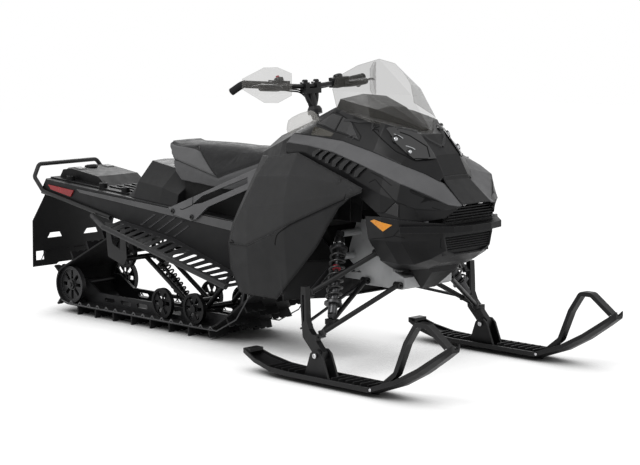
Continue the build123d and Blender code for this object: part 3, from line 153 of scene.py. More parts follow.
def spread(tree, factor, low, high):
    """A noise factor spread over a range of values."""
    return ranged(tree, factor, NOISE_SPAN, low, high)


def mottled(tree, factor, dark, light):
    """Two colours, mottled by a noise factor."""
    return ramp(tree, factor, list(zip(NOISE_SPAN, (dark, light))))


def bump(tree, shader, height, strength, distance):
    """A bump on the shader's normal."""
    node = add_node(tree, "ShaderNodeBump", Strength=strength, Distance=distance)
    tree.links.new(height, node.inputs["Height"])
    tree.links.new(node.outputs["Normal"], shader.inputs["Normal"])
    return node


def shade(colour, gain):
    """A colour made lighter or darker."""
    return tuple(min(1.0, c * gain) for c in colour)


def at_corners(tree, radius, span, low, high):
    """A value that goes from low to high as the surface turns a corner within a radius."""
    soft = add_node(tree, "ShaderNodeBevel", Radius=radius, samples=CORNER_SAMPLES)
    plain = tree.nodes.new("ShaderNodeNewGeometry")
    dot = add_node(tree, "ShaderNodeVectorMath", operation="DOT_PRODUCT")
    tree.links.new(soft.outputs["Normal"], dot.inputs[0])
    tree.links.new(plain.outputs["Normal"], dot.inputs[1])
    return ranged(tree, dot.outputs["Value"], span, low, high)


def painted_edge_highlight(tree, colour, radius, light):
    """The colour, lighter where the surface turns a corner within a radius: a painted highlight on edges."""
    return mixed(tree, at_corners(tree, radius, EDGE_SPAN, 0.0, 1.0), colour, light)


def moulded(name, colour, rough, grain, depth, metal=0.0, coat=0.0, gloss=0.3, edge=None, edge_radius=0.003,
            round_off=0.0):
    """Moulded or painted stock: fine grain, soft patches of colour, uneven gloss and edges painted lighter as a
    painted highlight.
    """
    material, tree, shader = new_material(name)
    tone = mottled(tree, noise(tree, 7, 4), shade(colour, 1 - PATCH_RANGE), shade(colour, 1 + PATCH_RANGE))
    # painted highlight: the edge colour lightens the surface where it turns a corner
    if edge:
        tone = painted_edge_highlight(tree, tone, edge_radius, edge)
    tree.links.new(tone, shader.inputs["Base Color"])
    tree.links.new(spread(tree, noise(tree, 26, 5), rough - 0.06, rough + 0.08), shader.inputs["Roughness"])
    grained = bump(tree, shader, noise(tree, grain, 2), GRAIN_STRENGTH, depth)
    if round_off:
        rounded = add_node(tree, "ShaderNodeBevel", Radius=round_off, samples=ROUND_SAMPLES)
        tree.links.new(rounded.outputs["Normal"], grained.inputs["Normal"])
    shader.inputs["Metallic"].default_value = metal
    shader.inputs["Specular IOR Level"].default_value = gloss
    shader.inputs["Coat Weight"].default_value = coat
    shader.inputs["Coat Roughness"].default_value = COAT_ROUGHNESS
    return material


def clear_sheet(name, colour, milk):
    """A clear bent sheet with a warm grey tint, made denser along its rim and creases as a painted highlight."""
    material, tree, shader = new_material(name)
    tone = mottled(tree, noise(tree, 9, 3), shade(colour, 0.94), shade(colour, 1.06))
    tree.links.new(tone, shader.inputs["Base Color"])
    tree.links.new(spread(tree, noise(tree, 40, 3), *GLASS_ROUGHNESS), shader.inputs["Roughness"])
    # painted highlight: the sheet grows more opaque along its rim and creases
    rim_highlight_alpha = at_corners(tree, RIM_RADIUS, RIM_SPAN, milk, min(1.0, milk * RIM_HIGHLIGHT_DENSITY))
    tree.links.new(rim_highlight_alpha, shader.inputs["Alpha"])
    shader.inputs["IOR"].default_value = GLASS_IOR
    shader.inputs["Specular IOR Level"].default_value = GLASS_GLOSS
    return material


def metres(x, z):
    """A side-view point in millimetres, given in metres."""
    return x / 1000, z / 1000


def side_line(tree, start, finish):
    """Height above the side-view line through two points (x, z), as a socket: z less the line at x."""
    (x0, z0), (x1, z1) = metres(*start), metres(*finish)
    slope = (z1 - z0) / (x1 - x0)
    parts = tree.nodes.new("ShaderNodeSeparateXYZ")
    tree.links.new(object_point(tree), parts.inputs[0])
    line = add_node(tree, "ShaderNodeMath", operation="MULTIPLY_ADD")
    line.inputs[1].default_value = -slope
    line.inputs[2].default_value = slope * x0 - z0
    tree.links.new(parts.outputs["X"], line.inputs[0])
    total = add_node(tree, "ShaderNodeMath", operation="ADD")
    tree.links.new(parts.outputs["Z"], total.inputs[0])
    tree.links.new(line.outputs[0], total.inputs[1])
    return total.outputs[0]


def maths(tree, operation, first, second):
    """A Math node over two sockets or numbers."""
    node = add_node(tree, "ShaderNodeMath", operation=operation)
    for index, value in enumerate((first, second)):
        if isinstance(value, (int, float)):
            node.inputs[index].default_value = value
        else:
            tree.links.new(value, node.inputs[index])
    return node.outputs[0]


def mixed(tree, factor, first, second):
    """Two colours mixed by a factor socket."""
    node = add_node(tree, "ShaderNodeMix", data_type="RGBA")
    tree.links.new(factor, node.inputs[0])
    for index, value in ((MIX_FIRST, first), (MIX_SECOND, second)):
        if isinstance(value, tuple):
            node.inputs[index].default_value = (*value, 1)
        else:
            tree.links.new(value, node.inputs[index])
    return node.outputs[MIX_RESULT]


# Seat cover: colours, and its panel lines in side view (x, z) in millimetres

SEAT_BLACK = (0.0065, 0.0065, 0.007)
# the top strip's colour is the black vinyl painted a shade lighter: painted light from above
SEAT_LIT_TOP = (0.0085, 0.0085, 0.009)
SEAT_PANEL = (0.105, 0.105, 0.107)
SEAT_BAND = (0.075, 0.075, 0.077)
SEAT_RIDGE_Y = 0.109
SEAM_REAR = ((-484, 826), (-202, 775))
SEAM_FRONT = ((-202, 775), (-5, 846))
SLANT = ((-452, 912), (-218, 781))
TAIL_X = -0.732
TAIL_LEAN = -0.12
VINYL_CELLS = 620
VINYL_FOLDS = 3.0


def seat_vinyl(name):
    """The seat's cover: black vinyl with its top strip a shade lighter as painted light from above, a lighter quad
    panel at the rear of each side and a grey lower band.
    """
    material, tree, shader = new_material(name)
    parts = tree.nodes.new("ShaderNodeSeparateXYZ")
    tree.links.new(object_point(tree), parts.inputs[0])
    above_rear = side_line(tree, *SEAM_REAR)
    above_front = side_line(tree, *SEAM_FRONT)
    above_slant = side_line(tree, *SLANT)
    band = maths(tree, "LESS_THAN", maths(tree, "MINIMUM", above_rear, above_front), 0.0)
    outward = maths(tree, "GREATER_THAN", maths(tree, "ABSOLUTE", parts.outputs["Y"], 0.0), SEAT_RIDGE_Y)
    behind = maths(tree, "LESS_THAN", above_slant, 0.0)
    lean = maths(tree, "MULTIPLY", parts.outputs["Z"], TAIL_LEAN)
    tail = maths(tree, "LESS_THAN", maths(tree, "ADD", parts.outputs["X"], lean), TAIL_X)
    panel = maths(tree, "MAXIMUM", maths(tree, "MULTIPLY", outward, behind), tail)
    patches = noise(tree, 9, 4)
    black = mottled(tree, patches, SEAT_BLACK, shade(SEAT_BLACK, 1.4))
    lit_top = mottled(tree, patches, SEAT_LIT_TOP, shade(SEAT_LIT_TOP, 1.25))
    grey = mottled(tree, patches, shade(SEAT_PANEL, 0.9), shade(SEAT_PANEL, 1.1))
    low = mottled(tree, patches, shade(SEAT_BAND, 0.88), shade(SEAT_BAND, 1.1))
    tone = mixed(tree, outward, lit_top, black)
    tone = mixed(tree, panel, tone, grey)
    tone = mixed(tree, band, tone, low)
    tree.links.new(tone, shader.inputs["Base Color"])
    tree.links.new(spread(tree, noise(tree, 30, 5), 0.5, 0.66), shader.inputs["Roughness"])
    cells = add_node(tree, "ShaderNodeTexVoronoi", feature="DISTANCE_TO_EDGE", Scale=VINYL_CELLS)
    tree.links.new(object_point(tree), cells.inputs["Vector"])
    folds = maths(tree, "MULTIPLY_ADD", noise(tree, 16, 3), VINYL_FOLDS)
    tree.links.new(cells.outputs["Distance"], folds.node.inputs[2])
    bump(tree, shader, folds, 0.5, 0.00045)
    shader.inputs["Specular IOR Level"].default_value = 0.2
    shader.inputs["Sheen Weight"].default_value = 0.02
    return material


# Edge colours for moulded finishes: painted highlights on corners, bright and dim
BRIGHT_EDGE_HIGHLIGHT = (0.13, 0.13, 0.134)
DIM_EDGE_HIGHLIGHT = (0.05, 0.05, 0.052)

# every edge= colour in these finishes is a painted highlight on corners
MATERIALS = {
    "track_rubber": moulded("track_rubber", (0.0065, 0.0065, 0.007), 0.66, 420, 0.0004, gloss=0.2, edge=DIM_EDGE_HIGHLIGHT),
    "black_plastic": moulded("black_plastic", (0.0050, 0.0050, 0.0054), 0.46, 700, 0.00018, gloss=0.15,
                             edge=DIM_EDGE_HIGHLIGHT),
    "grey_panel": moulded("grey_panel", (0.0115, 0.0115, 0.012), 0.42, 1100, 0.00008, gloss=0.16, edge=DIM_EDGE_HIGHLIGHT,
                          round_off=0.006),
    "dark_panel": moulded("dark_panel", (0.0105, 0.0105, 0.011), 0.36, 1200, 0.00006, gloss=0.16, edge=DIM_EDGE_HIGHLIGHT,
                          round_off=0.006),
    "band_grey": moulded("band_grey", (0.094, 0.094, 0.097), 0.45, 1200, 0.00005, gloss=0.25, edge=BRIGHT_EDGE_HIGHLIGHT,
                         round_off=0.006),
    "tunnel_paint": moulded("tunnel_paint", (0.011, 0.011, 0.0116), 0.44, 600, 0.00006, metal=0.1, gloss=0.16,
                            edge=BRIGHT_EDGE_HIGHLIGHT),
    "frame_paint": moulded("frame_paint", (0.006, 0.006, 0.0064), 0.38, 500, 0.00006, gloss=0.26, edge=DIM_EDGE_HIGHLIGHT,
                           edge_radius=0.002),
    "spring_black": moulded("spring_black", (0.006, 0.006, 0.0065), 0.3, 500, 0.00005, metal=0.2, gloss=0.6),
    "cast_light": moulded("cast_light", (0.40, 0.405, 0.41), 0.45, 260, 0.0004, metal=0.3, edge=(0.5, 0.5, 0.51)),
    "steel": moulded("steel", (0.05, 0.05, 0.052), 0.34, 500, 0.00004, metal=0.7),
    "rail_alloy": moulded("rail_alloy", (0.012, 0.012, 0.013), 0.42, 500, 0.00006, metal=0.4, edge=DIM_EDGE_HIGHLIGHT),
    "seat_vinyl": seat_vinyl("seat_vinyl"),
    "clear_glass": clear_sheet("clear_glass", (0.07, 0.067, 0.06), 0.23),
    "lamp_lens": moulded("lamp_lens", (0.004, 0.004, 0.0045), 0.12, 200, 0.00002, gloss=0.5, coat=0.6),
    "red_lens": moulded("red_lens", (0.27, 0.008, 0.012), 0.24, 400, 0.00008, coat=0.2, edge=(0.4, 0.03, 0.03)),
    "orange_lens": moulded("orange_lens", (0.74, 0.27, 0.014), 0.3, 300, 0.0002, coat=0.2, edge=(0.9, 0.45, 0.08)),
    "grip_rubber": moulded("grip_rubber", (0.0055, 0.0055, 0.006), 0.62, 500, 0.0002, gloss=0.2),
    "engine_iron": moulded("engine_iron", (0.010, 0.010, 0.010), 0.6, 200, 0.0004, metal=0.3),
    "ski_plastic": moulded("ski_plastic", (0.0065, 0.0065, 0.007), 0.44, 600, 0.0002, gloss=0.24, edge=DIM_EDGE_HIGHLIGHT),
}

# Finishes of nodes and pieces that differ from their slot's stock
# their edge= colours are painted highlights on corners as well
SPECIAL = {
    "frame_braces": moulded("brace_grey", (0.105, 0.105, 0.108), 0.45, 700, 0.00006, metal=0.15,
                            edge=(0.26, 0.26, 0.265)),
    "edge_strips": moulded("strip_grey", (0.078, 0.078, 0.080), 0.45, 700, 0.00006, metal=0.15,
                           edge=(0.2, 0.2, 0.2)),
    "side_panels": moulded("side_panel_grey", (0.0195, 0.0195, 0.020), 0.42, 1200, 0.00006, gloss=0.18,
                           edge=(0.10, 0.10, 0.103), round_off=0.025),
    "footwell_panels": moulded("footwell_grey", (0.012, 0.012, 0.0125), 0.44, 1200, 0.00006, gloss=0.16,
                               edge=DIM_EDGE_HIGHLIGHT, round_off=0.02),
    "running_boards": moulded("board_grey", (0.020, 0.020, 0.021), 0.45, 600, 0.00008, metal=0.2,
                              edge=(0.09, 0.09, 0.092)),
    "hand_guards": clear_sheet("guard_clear", (0.20, 0.195, 0.185), 0.2),
    "side_louvres": moulded("blade_black", (0.010, 0.010, 0.0105), 0.36, 900, 0.00008, edge=(0.06, 0.06, 0.062)),
    "rear_bumper": moulded("bumper_black", (0.010, 0.010, 0.0105), 0.4, 500, 0.00006, edge=DIM_EDGE_HIGHLIGHT),
    "rear_axle": moulded("wheel_grey", (0.020, 0.020, 0.021), 0.42, 500, 0.00008, metal=0.3,
                         edge=(0.13, 0.13, 0.134)),
    "seat_base": moulded("base_black", (0.0035, 0.0035, 0.0035), 0.6, 600, 0.00015, gloss=0.15),
    "snow_flap": moulded("flap_black", (0.0085, 0.0085, 0.009), 0.5, 700, 0.0002, gloss=0.22, edge=DIM_EDGE_HIGHLIGHT),
    "dash": moulded("dash_black", (0.0055, 0.0055, 0.006), 0.4, 900, 0.0001, gloss=0.14, edge=(0.06, 0.06, 0.062)),
}


def dress_frame():
    """Each CAD node takes the finish of its slot."""
    for part in frame["record"]["subparts"]:
        node = nodes[part["node"]]
        finish = SPECIAL.get(part["node"], MATERIALS[part["material_slot"]])
        node.data.materials.clear()
        node.data.materials.append(finish)


# Studio

WORLD_FILL = 0.42
FLOOR_HALF = 14.0
FLOOR_DROP = 0.0005
FLOOR_WHITE = 1.48
FLOOR_SHARE = 0.6
CONTACT_REACH = 0.5
SHADOW_SPAN = (0.25, 0.93)
LAMPS = (
    ("key", (1.0, -4.5, 5.0), (0, 0, 0.5), 3.0, 210),
    ("fill", (6.0, 1.5, 3.0), (0.3, 0, 0.6), 2.5, 60),
    ("rim", (-4.0, 3.5, 4.0), (0, 0, 0.6), 2.5, 110),
)


def area_lamp(name, place, aim, size, power):
    """A soft square lamp that points at a spot."""
    data = bpy.data.lights.new(name, "AREA")
    data.shape = "SQUARE"
    data.size = size
    data.energy = power
    lamp = bpy.data.objects.new(name, data)
    scene.collection.objects.link(lamp)
    lamp.location = place
    lamp.rotation_euler = (Vector(aim) - Vector(place)).to_track_quat("-Z", "Y").to_euler()


def seen_plainly(tree):
    """1 for what the camera, a gloss or a clear sheet looks at, 0 for what only gets light."""
    path = tree.nodes.new("ShaderNodeLightPath")
    seen = maths(tree, "MAXIMUM", path.outputs["Is Camera Ray"], path.outputs["Is Transmission Ray"])
    return maths(tree, "MAXIMUM", seen, path.outputs["Is Glossy Ray"])


def make_world():
    """A pale world: white to the camera, gloss and clear sheets, a soft fill otherwise."""
    world = bpy.data.worlds.new("world")
    scene.world = world
    world.use_nodes = True
    tree = world.node_tree
    tree.nodes.clear()
    white = add_node(tree, "ShaderNodeBackground", Color=(1, 1, 1, 1), Strength=1.0)
    fill = add_node(tree, "ShaderNodeBackground", Color=(1, 1, 1, 1), Strength=WORLD_FILL)
    mix = tree.nodes.new("ShaderNodeMixShader")
    out = tree.nodes.new("ShaderNodeOutputWorld")
    tree.links.new(seen_plainly(tree), mix.inputs[0])
    tree.links.new(fill.outputs[0], mix.inputs[1])
    tree.links.new(white.outputs[0], mix.inputs[2])
    tree.links.new(mix.outputs[0], out.inputs["Surface"])


def make_floor():
    """A plain pale floor: white to the camera, darker where the machine stands close over it: a painted contact
    shadow in its glow, with the lamps' own shadow in its lit share.
    """
    mesh = bpy.data.meshes.new("floor")
    corners = [(x * FLOOR_HALF, y * FLOOR_HALF, 0) for x, y in ((-1, -1), (1, -1), (1, 1), (-1, 1))]
    mesh.from_pydata(corners, [], [(0, 1, 2, 3)])
    floor = bpy.data.objects.new("floor", mesh)
    scene.collection.objects.link(floor)
    floor.location.z = -FLOOR_DROP
    material, tree, shader = new_material("floor")
    tone = mottled(tree, noise(tree, 0.6, 2), (0.84, 0.84, 0.84), (0.86, 0.86, 0.86))
    tree.links.new(tone, shader.inputs["Base Color"])
    shader.inputs["Roughness"].default_value = 0.9
    shader.inputs["Specular IOR Level"].default_value = 0.0
    # painted contact shadow: the glow's colour darkens where ambient occlusion finds the machine close
    open_sky = add_node(tree, "ShaderNodeAmbientOcclusion", samples=8, Distance=CONTACT_REACH)
    painted_contact_shadow = ramp(tree, open_sky.outputs["AO"], list(zip(SHADOW_SPAN, ((0.0, 0.0, 0.0), (1.0, 1.0, 1.0)))))
    glow = add_node(tree, "ShaderNodeEmission", Strength=FLOOR_WHITE)
    tree.links.new(painted_contact_shadow, glow.inputs["Color"])
    bright = tree.nodes.new("ShaderNodeMixShader")
    bright.inputs[0].default_value = FLOOR_SHARE
    tree.links.new(shader.outputs[0], bright.inputs[1])
    tree.links.new(glow.outputs[0], bright.inputs[2])
    mix = tree.nodes.new("ShaderNodeMixShader")
    tree.links.new(seen_plainly(tree), mix.inputs[0])
    tree.links.new(shader.outputs[0], mix.inputs[1])
    tree.links.new(bright.outputs[0], mix.inputs[2])
    tree.links.new(mix.outputs[0], tree.nodes["Material Output"].inputs["Surface"])
    mesh.materials.append(material)


def make_studio():
    """Floor, world, lamps and view."""
    make_floor()
    make_world()
    for lamp in LAMPS:
        area_lamp(*lamp)
    scene.view_settings.view_transform = "Standard"


# Shape helpers

REACH = 0.06
LAY_STEP = 0.012
RIBBON_SINK = 0.0008
PAD_SINK = 0.001
SIDES = (-1, 1)


def mm(*values):
    """A point given in millimetres."""
    return Vector(values) / 1000


def surface(*things):
    """A search tree over the faces of CAD nodes, by name, or of pieces."""
    points, faces = [], []
    for thing in things:
        mesh = (nodes[thing] if isinstance(thing, str) else thing).data
        base = len(points)
        points += [vertex.co.copy() for vertex in mesh.vertices]
        faces += [[base + index for index in face.vertices] for face in mesh.polygons]
    return BVHTree.FromPolygons(points, faces)


def under(tree, point, aim):
    """The point of a surface under a point, looked at from outside along a direction, with its normal."""
    place, normal, _, _ = tree.ray_cast(point + aim * REACH, -aim)
    if place is None:
        place, normal, _, _ = tree.find_nearest(point)
    if normal.dot(aim) < 0:
        normal = -normal
    return place, normal


def lay(tree, corners, step=LAY_STEP):
    """Points and normals laid on a surface along a line of corners in millimetres."""
    ends = []
    for corner in corners:
        point = mm(*corner)
        ends.append((point, tree.find_nearest(point)[1]))
    laid = []
    for (start, first), (finish, last) in zip(ends, ends[1:]):
        count = max(1, math.ceil((finish - start).length / step))
        for index in range(count):
            share = index / count
            laid.append(under(tree, start.lerp(finish, share), first.lerp(last, share).normalized()))
    laid.append(under(tree, *ends[-1]))
    return laid


def skin_rows(mesh, rows):
    """Faces between rings of vertices, with end caps."""
    for first, second in zip(rows, rows[1:]):
        for index in range(len(first)):
            after = (index + 1) % len(first)
            mesh.faces.new((first[index], first[after], second[after], second[index]))
    mesh.faces.new(rows[0])
    mesh.faces.new(list(reversed(rows[-1])))


def grid_faces(mesh, rows):
    """Faces between rows of vertices, open at the rows' ends."""
    for first, second in zip(rows, rows[1:]):
        for index in range(len(first) - 1):
            mesh.faces.new((first[index], first[index + 1], second[index + 1], second[index]))


def rim_of(rows):
    """The border vertices of a grid, in order."""
    return rows[0] + [row[-1] for row in rows[1:]] + rows[-1][-2::-1] + [row[0] for row in rows[-2:0:-1]]


def ribbon(mesh, laid, width, height):
    """A low bar with sloped sides along laid points."""
    rows = []
    profile = ((-0.5, -RIBBON_SINK), (-0.3, height), (0.3, height), (0.5, -RIBBON_SINK))
    for index, (place, normal) in enumerate(laid):
        before = laid[max(index - 1, 0)][0]
        after = laid[min(index + 1, len(laid) - 1)][0]
        along = (after - before).normalized()
        across = along.cross(normal).normalized()
        rows.append([mesh.verts.new(place + across * (width * side) + normal * lift) for side, lift in profile])
    skin_rows(mesh, rows)


def tube(mesh, path, radius, sides=8, squash=1.0):
    """A round bar along a list of points, flatter with a squash under 1."""
    rows = []
    up = Vector((0, 0, 1))
    for index, place in enumerate(path):
        before = path[max(index - 1, 0)]
        after = path[min(index + 1, len(path) - 1)]
        along = (after - before).normalized()
        across = along.cross(up)
        across = across.normalized() if across.length > 1e-4 else along.orthogonal().normalized()
        rise = across.cross(along).normalized()
        turn = [2 * math.pi * step / sides for step in range(sides)]
        rows.append([
            mesh.verts.new(place + across * (radius * math.cos(a)) + rise * (radius * squash * math.sin(a)))
            for a in turn
        ])
    skin_rows(mesh, rows)


def smooth_path(corners, steps=8):
    """A soft curve through corners in millimetres."""
    points = [mm(*corner) for corner in corners]
    padded = [points[0] * 2 - points[1]] + points + [points[-1] * 2 - points[-2]]
    path = []
    for a, b, c, d in zip(padded, padded[1:], padded[2:], padded[3:]):
        for index in range(steps):
            t = index / steps
            path.append(
                0.5 * ((2 * b) + (c - a) * t + (2 * a - 5 * b + 4 * c - d) * t * t
                       + (3 * b - a - 3 * c + d) * t * t * t)
            )
    path.append(points[-1])
    return path


def turned(mesh, place, aim, profile, sides=16, well=None):
    """A turned form about an axis: profile rows are (radius, height); the well row is six-sided."""
    up = aim.normalized()
    across = up.orthogonal().normalized()
    other = up.cross(across)
    rows = []
    for number, (radius, height) in enumerate(profile):
        row = []
        for step in range(sides):
            angle = 2 * math.pi * step / sides
            size = radius
            if well is not None and number >= well:
                sixth = math.pi / 3
                size = radius * math.cos(sixth / 2) / math.cos(angle % sixth - sixth / 2)
            row.append(mesh.verts.new(
                place + across * (size * math.cos(angle)) + other * (size * math.sin(angle)) + up * height))
        rows.append(row)
    skin_rows(mesh, rows)


def socket_bolt(mesh, place, aim, radius, height):
    """A round head with a bevelled rim and a six-sided well."""
    profile = ((radius, -height * 0.4), (radius, height * 0.75), (radius * 0.86, height), (radius * 0.56, height),
               (radius * 0.54, height * 0.3))
    turned(mesh, place, aim, profile, 12, 3)


def pad(mesh, tree, corners, counts, height, border=0.003):
    """A low pad with sloped borders on a surface, between four corners in millimetres."""
    points = [mm(*corner) for corner in corners]
    aims = [tree.find_nearest(point)[1] for point in points]
    a, b, c, d = points
    wide = ((b - a).length + (c - d).length) / 2
    deep = ((d - a).length + (c - b).length) / 2

    def shares(count, length):
        edge = min(0.3, border / length)
        return [0.0] + [edge + (1 - 2 * edge) * index / count for index in range(count + 1)] + [1.0]

    rows = []
    for v in shares(counts[1], deep):
        row = []
        for u in shares(counts[0], wide):
            low, high = a.lerp(b, u), d.lerp(c, u)
            aim = aims[0].lerp(aims[1], u).lerp(aims[3].lerp(aims[2], u), v).normalized()
            place = under(tree, low.lerp(high, v), aim)[0]
            rim = u in (0.0, 1.0) or v in (0.0, 1.0)
            row.append(mesh.verts.new(place + aim * (-PAD_SINK if rim else height)))
        rows.append(row)
    grid_faces(mesh, rows)
    border_loop = rim_of(rows)
    middle = sum((vert.co for vert in border_loop), Vector()) / len(border_loop)
    under_vert = mesh.verts.new(middle - sum(aims, Vector()).normalized() * PAD_SINK)
    for first, second in zip(border_loop, border_loop[1:] + border_loop[:1]):
        mesh.faces.new((second, first, under_vert))


def mirrored(mesh):
    """The same again on the other side of the centre plane."""
    geometry = mesh.verts[:] + mesh.edges[:] + mesh.faces[:]
    copy = bmesh.ops.duplicate(mesh, geom=geometry)["geom"]
    verts = [item for item in copy if isinstance(item, bmesh.types.BMVert)]
    faces = [item for item in copy if isinstance(item, bmesh.types.BMFace)]
    for vert in verts:
        vert.co.y = -vert.co.y
    bmesh.ops.reverse_faces(mesh, faces=faces)


def piece(name, mesh, finish, body="chassis", both=False, smooth=False):
    """A finished piece from a bmesh, on its body and with its slot."""
    if both:
        mirrored(mesh)
    bmesh.ops.recalc_face_normals(mesh, faces=mesh.faces)
    data = bpy.data.meshes.new(name)
    mesh.to_mesh(data)
    mesh.free()
    data.materials.append(finish)
    if smooth:
        data.shade_smooth()
    made = bpy.data.objects.new(name, data)
    scene.collection.objects.link(made)
    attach(made, body)


def lines(name, tree, strips, width, height, finish):
    """Seam lines or low ribs laid on a surface on both sides, as one piece."""
    mesh = bmesh.new()
    for corners in strips:
        ribbon(mesh, lay(tree, corners), width, height)
    piece(name, mesh, finish, both=True)


# Finishes of small pieces

# edge= colours here are painted highlights on corners as well
GAP_BLACK = moulded("gap_black", (0.0025, 0.0025, 0.0027), 0.6, 500, 0.0001, gloss=0.1)
GLOSS_BLACK = moulded("gloss_black", (0.006, 0.006, 0.0065), 0.2, 900, 0.00003, gloss=0.5, coat=0.5)
TRIM_BLACK = moulded("trim_black", (0.007, 0.007, 0.0075), 0.42, 700, 0.0001, gloss=0.3, edge=DIM_EDGE_HIGHLIGHT)
FACET_GREY = moulded("facet_grey", (0.0215, 0.0215, 0.022), 0.42, 1200, 0.00005, edge=BRIGHT_EDGE_HIGHLIGHT)
# rib_grey: painted highlights along the tunnel's ribs, and the belt's pale edge line and clips
RIB_GREY = moulded("rib_grey", (0.10, 0.10, 0.103), 0.42, 900, 0.00006, metal=0.2)
BOLT_BLACK = moulded("bolt_black", (0.008, 0.008, 0.0085), 0.32, 500, 0.00004, metal=0.3, edge=(0.14, 0.14, 0.14),
                     edge_radius=0.0015)
BRIGHT_STEEL = moulded("bright_steel", (0.58, 0.58, 0.59), 0.24, 500, 0.00004, metal=1.0)
RED_PAINT = moulded("red_paint", (0.42, 0.012, 0.03), 0.3, 500, 0.00004, coat=0.4)
LAMP_BRIGHT = moulded("lamp_bright", (0.42, 0.43, 0.44), 0.12, 300, 0.00002, metal=0.7, coat=0.8)
SMOKE_PANE = moulded("smoke_pane", (0.026, 0.0225, 0.0145), 0.16, 300, 0.00002, gloss=0.4, coat=0.4)
PALE_PANE = clear_sheet("pale_pane", (0.40, 0.39, 0.37), 0.34)
THREAD_GREY = moulded("thread_grey", (0.05, 0.05, 0.052), 0.7, 1500, 0.0001)


# Seat

SEAT_SHRINK = 0.012
SEAT_VOXEL = 0.006
SEAT_CAP = 0.022
SEAT_STEPS = 20
SEAM_DEPTH = 0.0055
SEAM_WIDTH = 0.011
SEAT_HELD_HEIGHT = 0.022
SEAT_HELD_X = 0.09
SEAT_UNDERSIDE = ((-0.632, 0.921), (-0.480, 0.743), (-0.139, 0.721), (0.118, 0.733))
SEAT_CLOTH = {
    "use_pressure": True, "uniform_pressure_force": 4.0, "quality": 5, "mass": 0.3,
    "tension_stiffness": 12, "compression_stiffness": 12, "shear_stiffness": 6, "bending_stiffness": 1.2,
}
BAND_SEAM = ((-590, 845), (-484, 826), (-202, 775), (-5, 846), (40, 862))
SLANT_SEAM = ((-434, 902), (-225, 785))
BACK_SEAM_Z = 0.847
BACK_SEAM_STEPS = 17
BACK_SEAM_PITCH = 0.0088
SEAM_STEP = 8
STITCH_OFFSET = 0.0065
STITCH_LIFT = 0.0012
STITCH_HALF = 0.0022


def seat_floor(x):
    """The seat's underside height at a place along it, in metres."""
    for (x0, z0), (x1, z1) in zip(SEAT_UNDERSIDE, SEAT_UNDERSIDE[1:]):
        if x <= x1:
            return z0 + (z1 - z0) * (x - x0) / (x1 - x0)
    return SEAT_UNDERSIDE[-1][1]


def swell(thing):
    """Cloth under pressure, held at the underside, with each point's movement capped."""
    rest = [vertex.co.copy() for vertex in thing.data.vertices]
    held = thing.vertex_groups.new(name="held")
    fixed = [vertex.index for vertex in thing.data.vertices
             if vertex.co.z < seat_floor(vertex.co.x) + SEAT_HELD_HEIGHT or vertex.co.x > SEAT_HELD_X]
    held.add(fixed, 1.0, "REPLACE")
    cloth = thing.modifiers.new("cloth", "CLOTH")
    settings = cloth.settings
    settings.effector_weights.gravity = 0.0
    settings.vertex_group_mass = held.name
    for key, value in SEAT_CLOTH.items():
        setattr(settings, key, value)
    cloth.point_cache.frame_start = 1
    cloth.point_cache.frame_end = SEAT_STEPS
    for step in range(1, SEAT_STEPS + 1):
        scene.frame_set(step)
    graph = bpy.context.evaluated_depsgraph_get()
    swollen = thing.evaluated_get(graph).to_mesh()
    moved = [vertex.co.copy() for vertex in swollen.vertices]
    thing.evaluated_get(graph).to_mesh_clear()
    thing.modifiers.remove(cloth)
    scene.frame_set(1)
    for vertex, start, finish in zip(thing.data.vertices, rest, moved):
        step = finish - start
        if step.length > SEAT_CAP:
            step = step.normalized() * SEAT_CAP
        vertex.co = start + step
    thing.vertex_groups.remove(held)


def seat_seams(tree):
    """The seat's seam lines: round the band on both sides and the back, and down each slanted edge."""
    def cast(starts, aim):
        hits = [tree.ray_cast(Vector(start), Vector(aim)) for start in starts]
        return [(hit[0], hit[1]) for hit in hits if hit[0] is not None]

    seams = []
    for side in SIDES:
        for corners in (BAND_SEAM, SLANT_SEAM):
            starts = [(x, side * 0.5, z) for x, z in along_side(corners, SEAM_STEP)]
            seams.append(cast(starts, (0, -side, 0)))
    steps = range(-BACK_SEAM_STEPS, BACK_SEAM_STEPS + 1)
    seams.append(cast([(-1.0, step * BACK_SEAM_PITCH, BACK_SEAM_Z) for step in steps], (1, 0, 0)))
    return seams


def along_side(corners, step):
    """Side-view points in metres, stepped along a line of corners in millimetres."""
    points = []
    for (x0, z0), (x1, z1) in zip(corners, corners[1:]):
        count = max(1, round(math.hypot(x1 - x0, z1 - z0) / step))
        points += [metres(x0 + (x1 - x0) * i / count, z0 + (z1 - z0) * i / count) for i in range(count)]
    points.append(metres(*corners[-1]))
    return points


def shift(thing, distance):
    """Moves each point along its normal by a distance, or by what a function of the point gives."""
    normals = [vertex.normal.copy() for vertex in thing.data.vertices]
    for vertex, normal in zip(thing.data.vertices, normals):
        vertex.co += normal * (distance(vertex.co) if callable(distance) else distance)
    thing.data.update()


def press_seams(thing, seams):
    """Draws the cover in along its seams."""
    places = [place for seam in seams for place, _ in seam]
    finder = KDTree(len(places))
    for index, place in enumerate(places):
        finder.insert(place, index)
    finder.balance()
    shift(thing, lambda place: -SEAM_DEPTH * math.exp(-(finder.find(place)[2] / SEAM_WIDTH) ** 2))


def apply_modifiers(thing):
    """The mesh that a thing's modifiers make becomes its own."""
    graph = bpy.context.evaluated_depsgraph_get()
    thing.data = bpy.data.meshes.new_from_object(thing.evaluated_get(graph))
    thing.modifiers.clear()


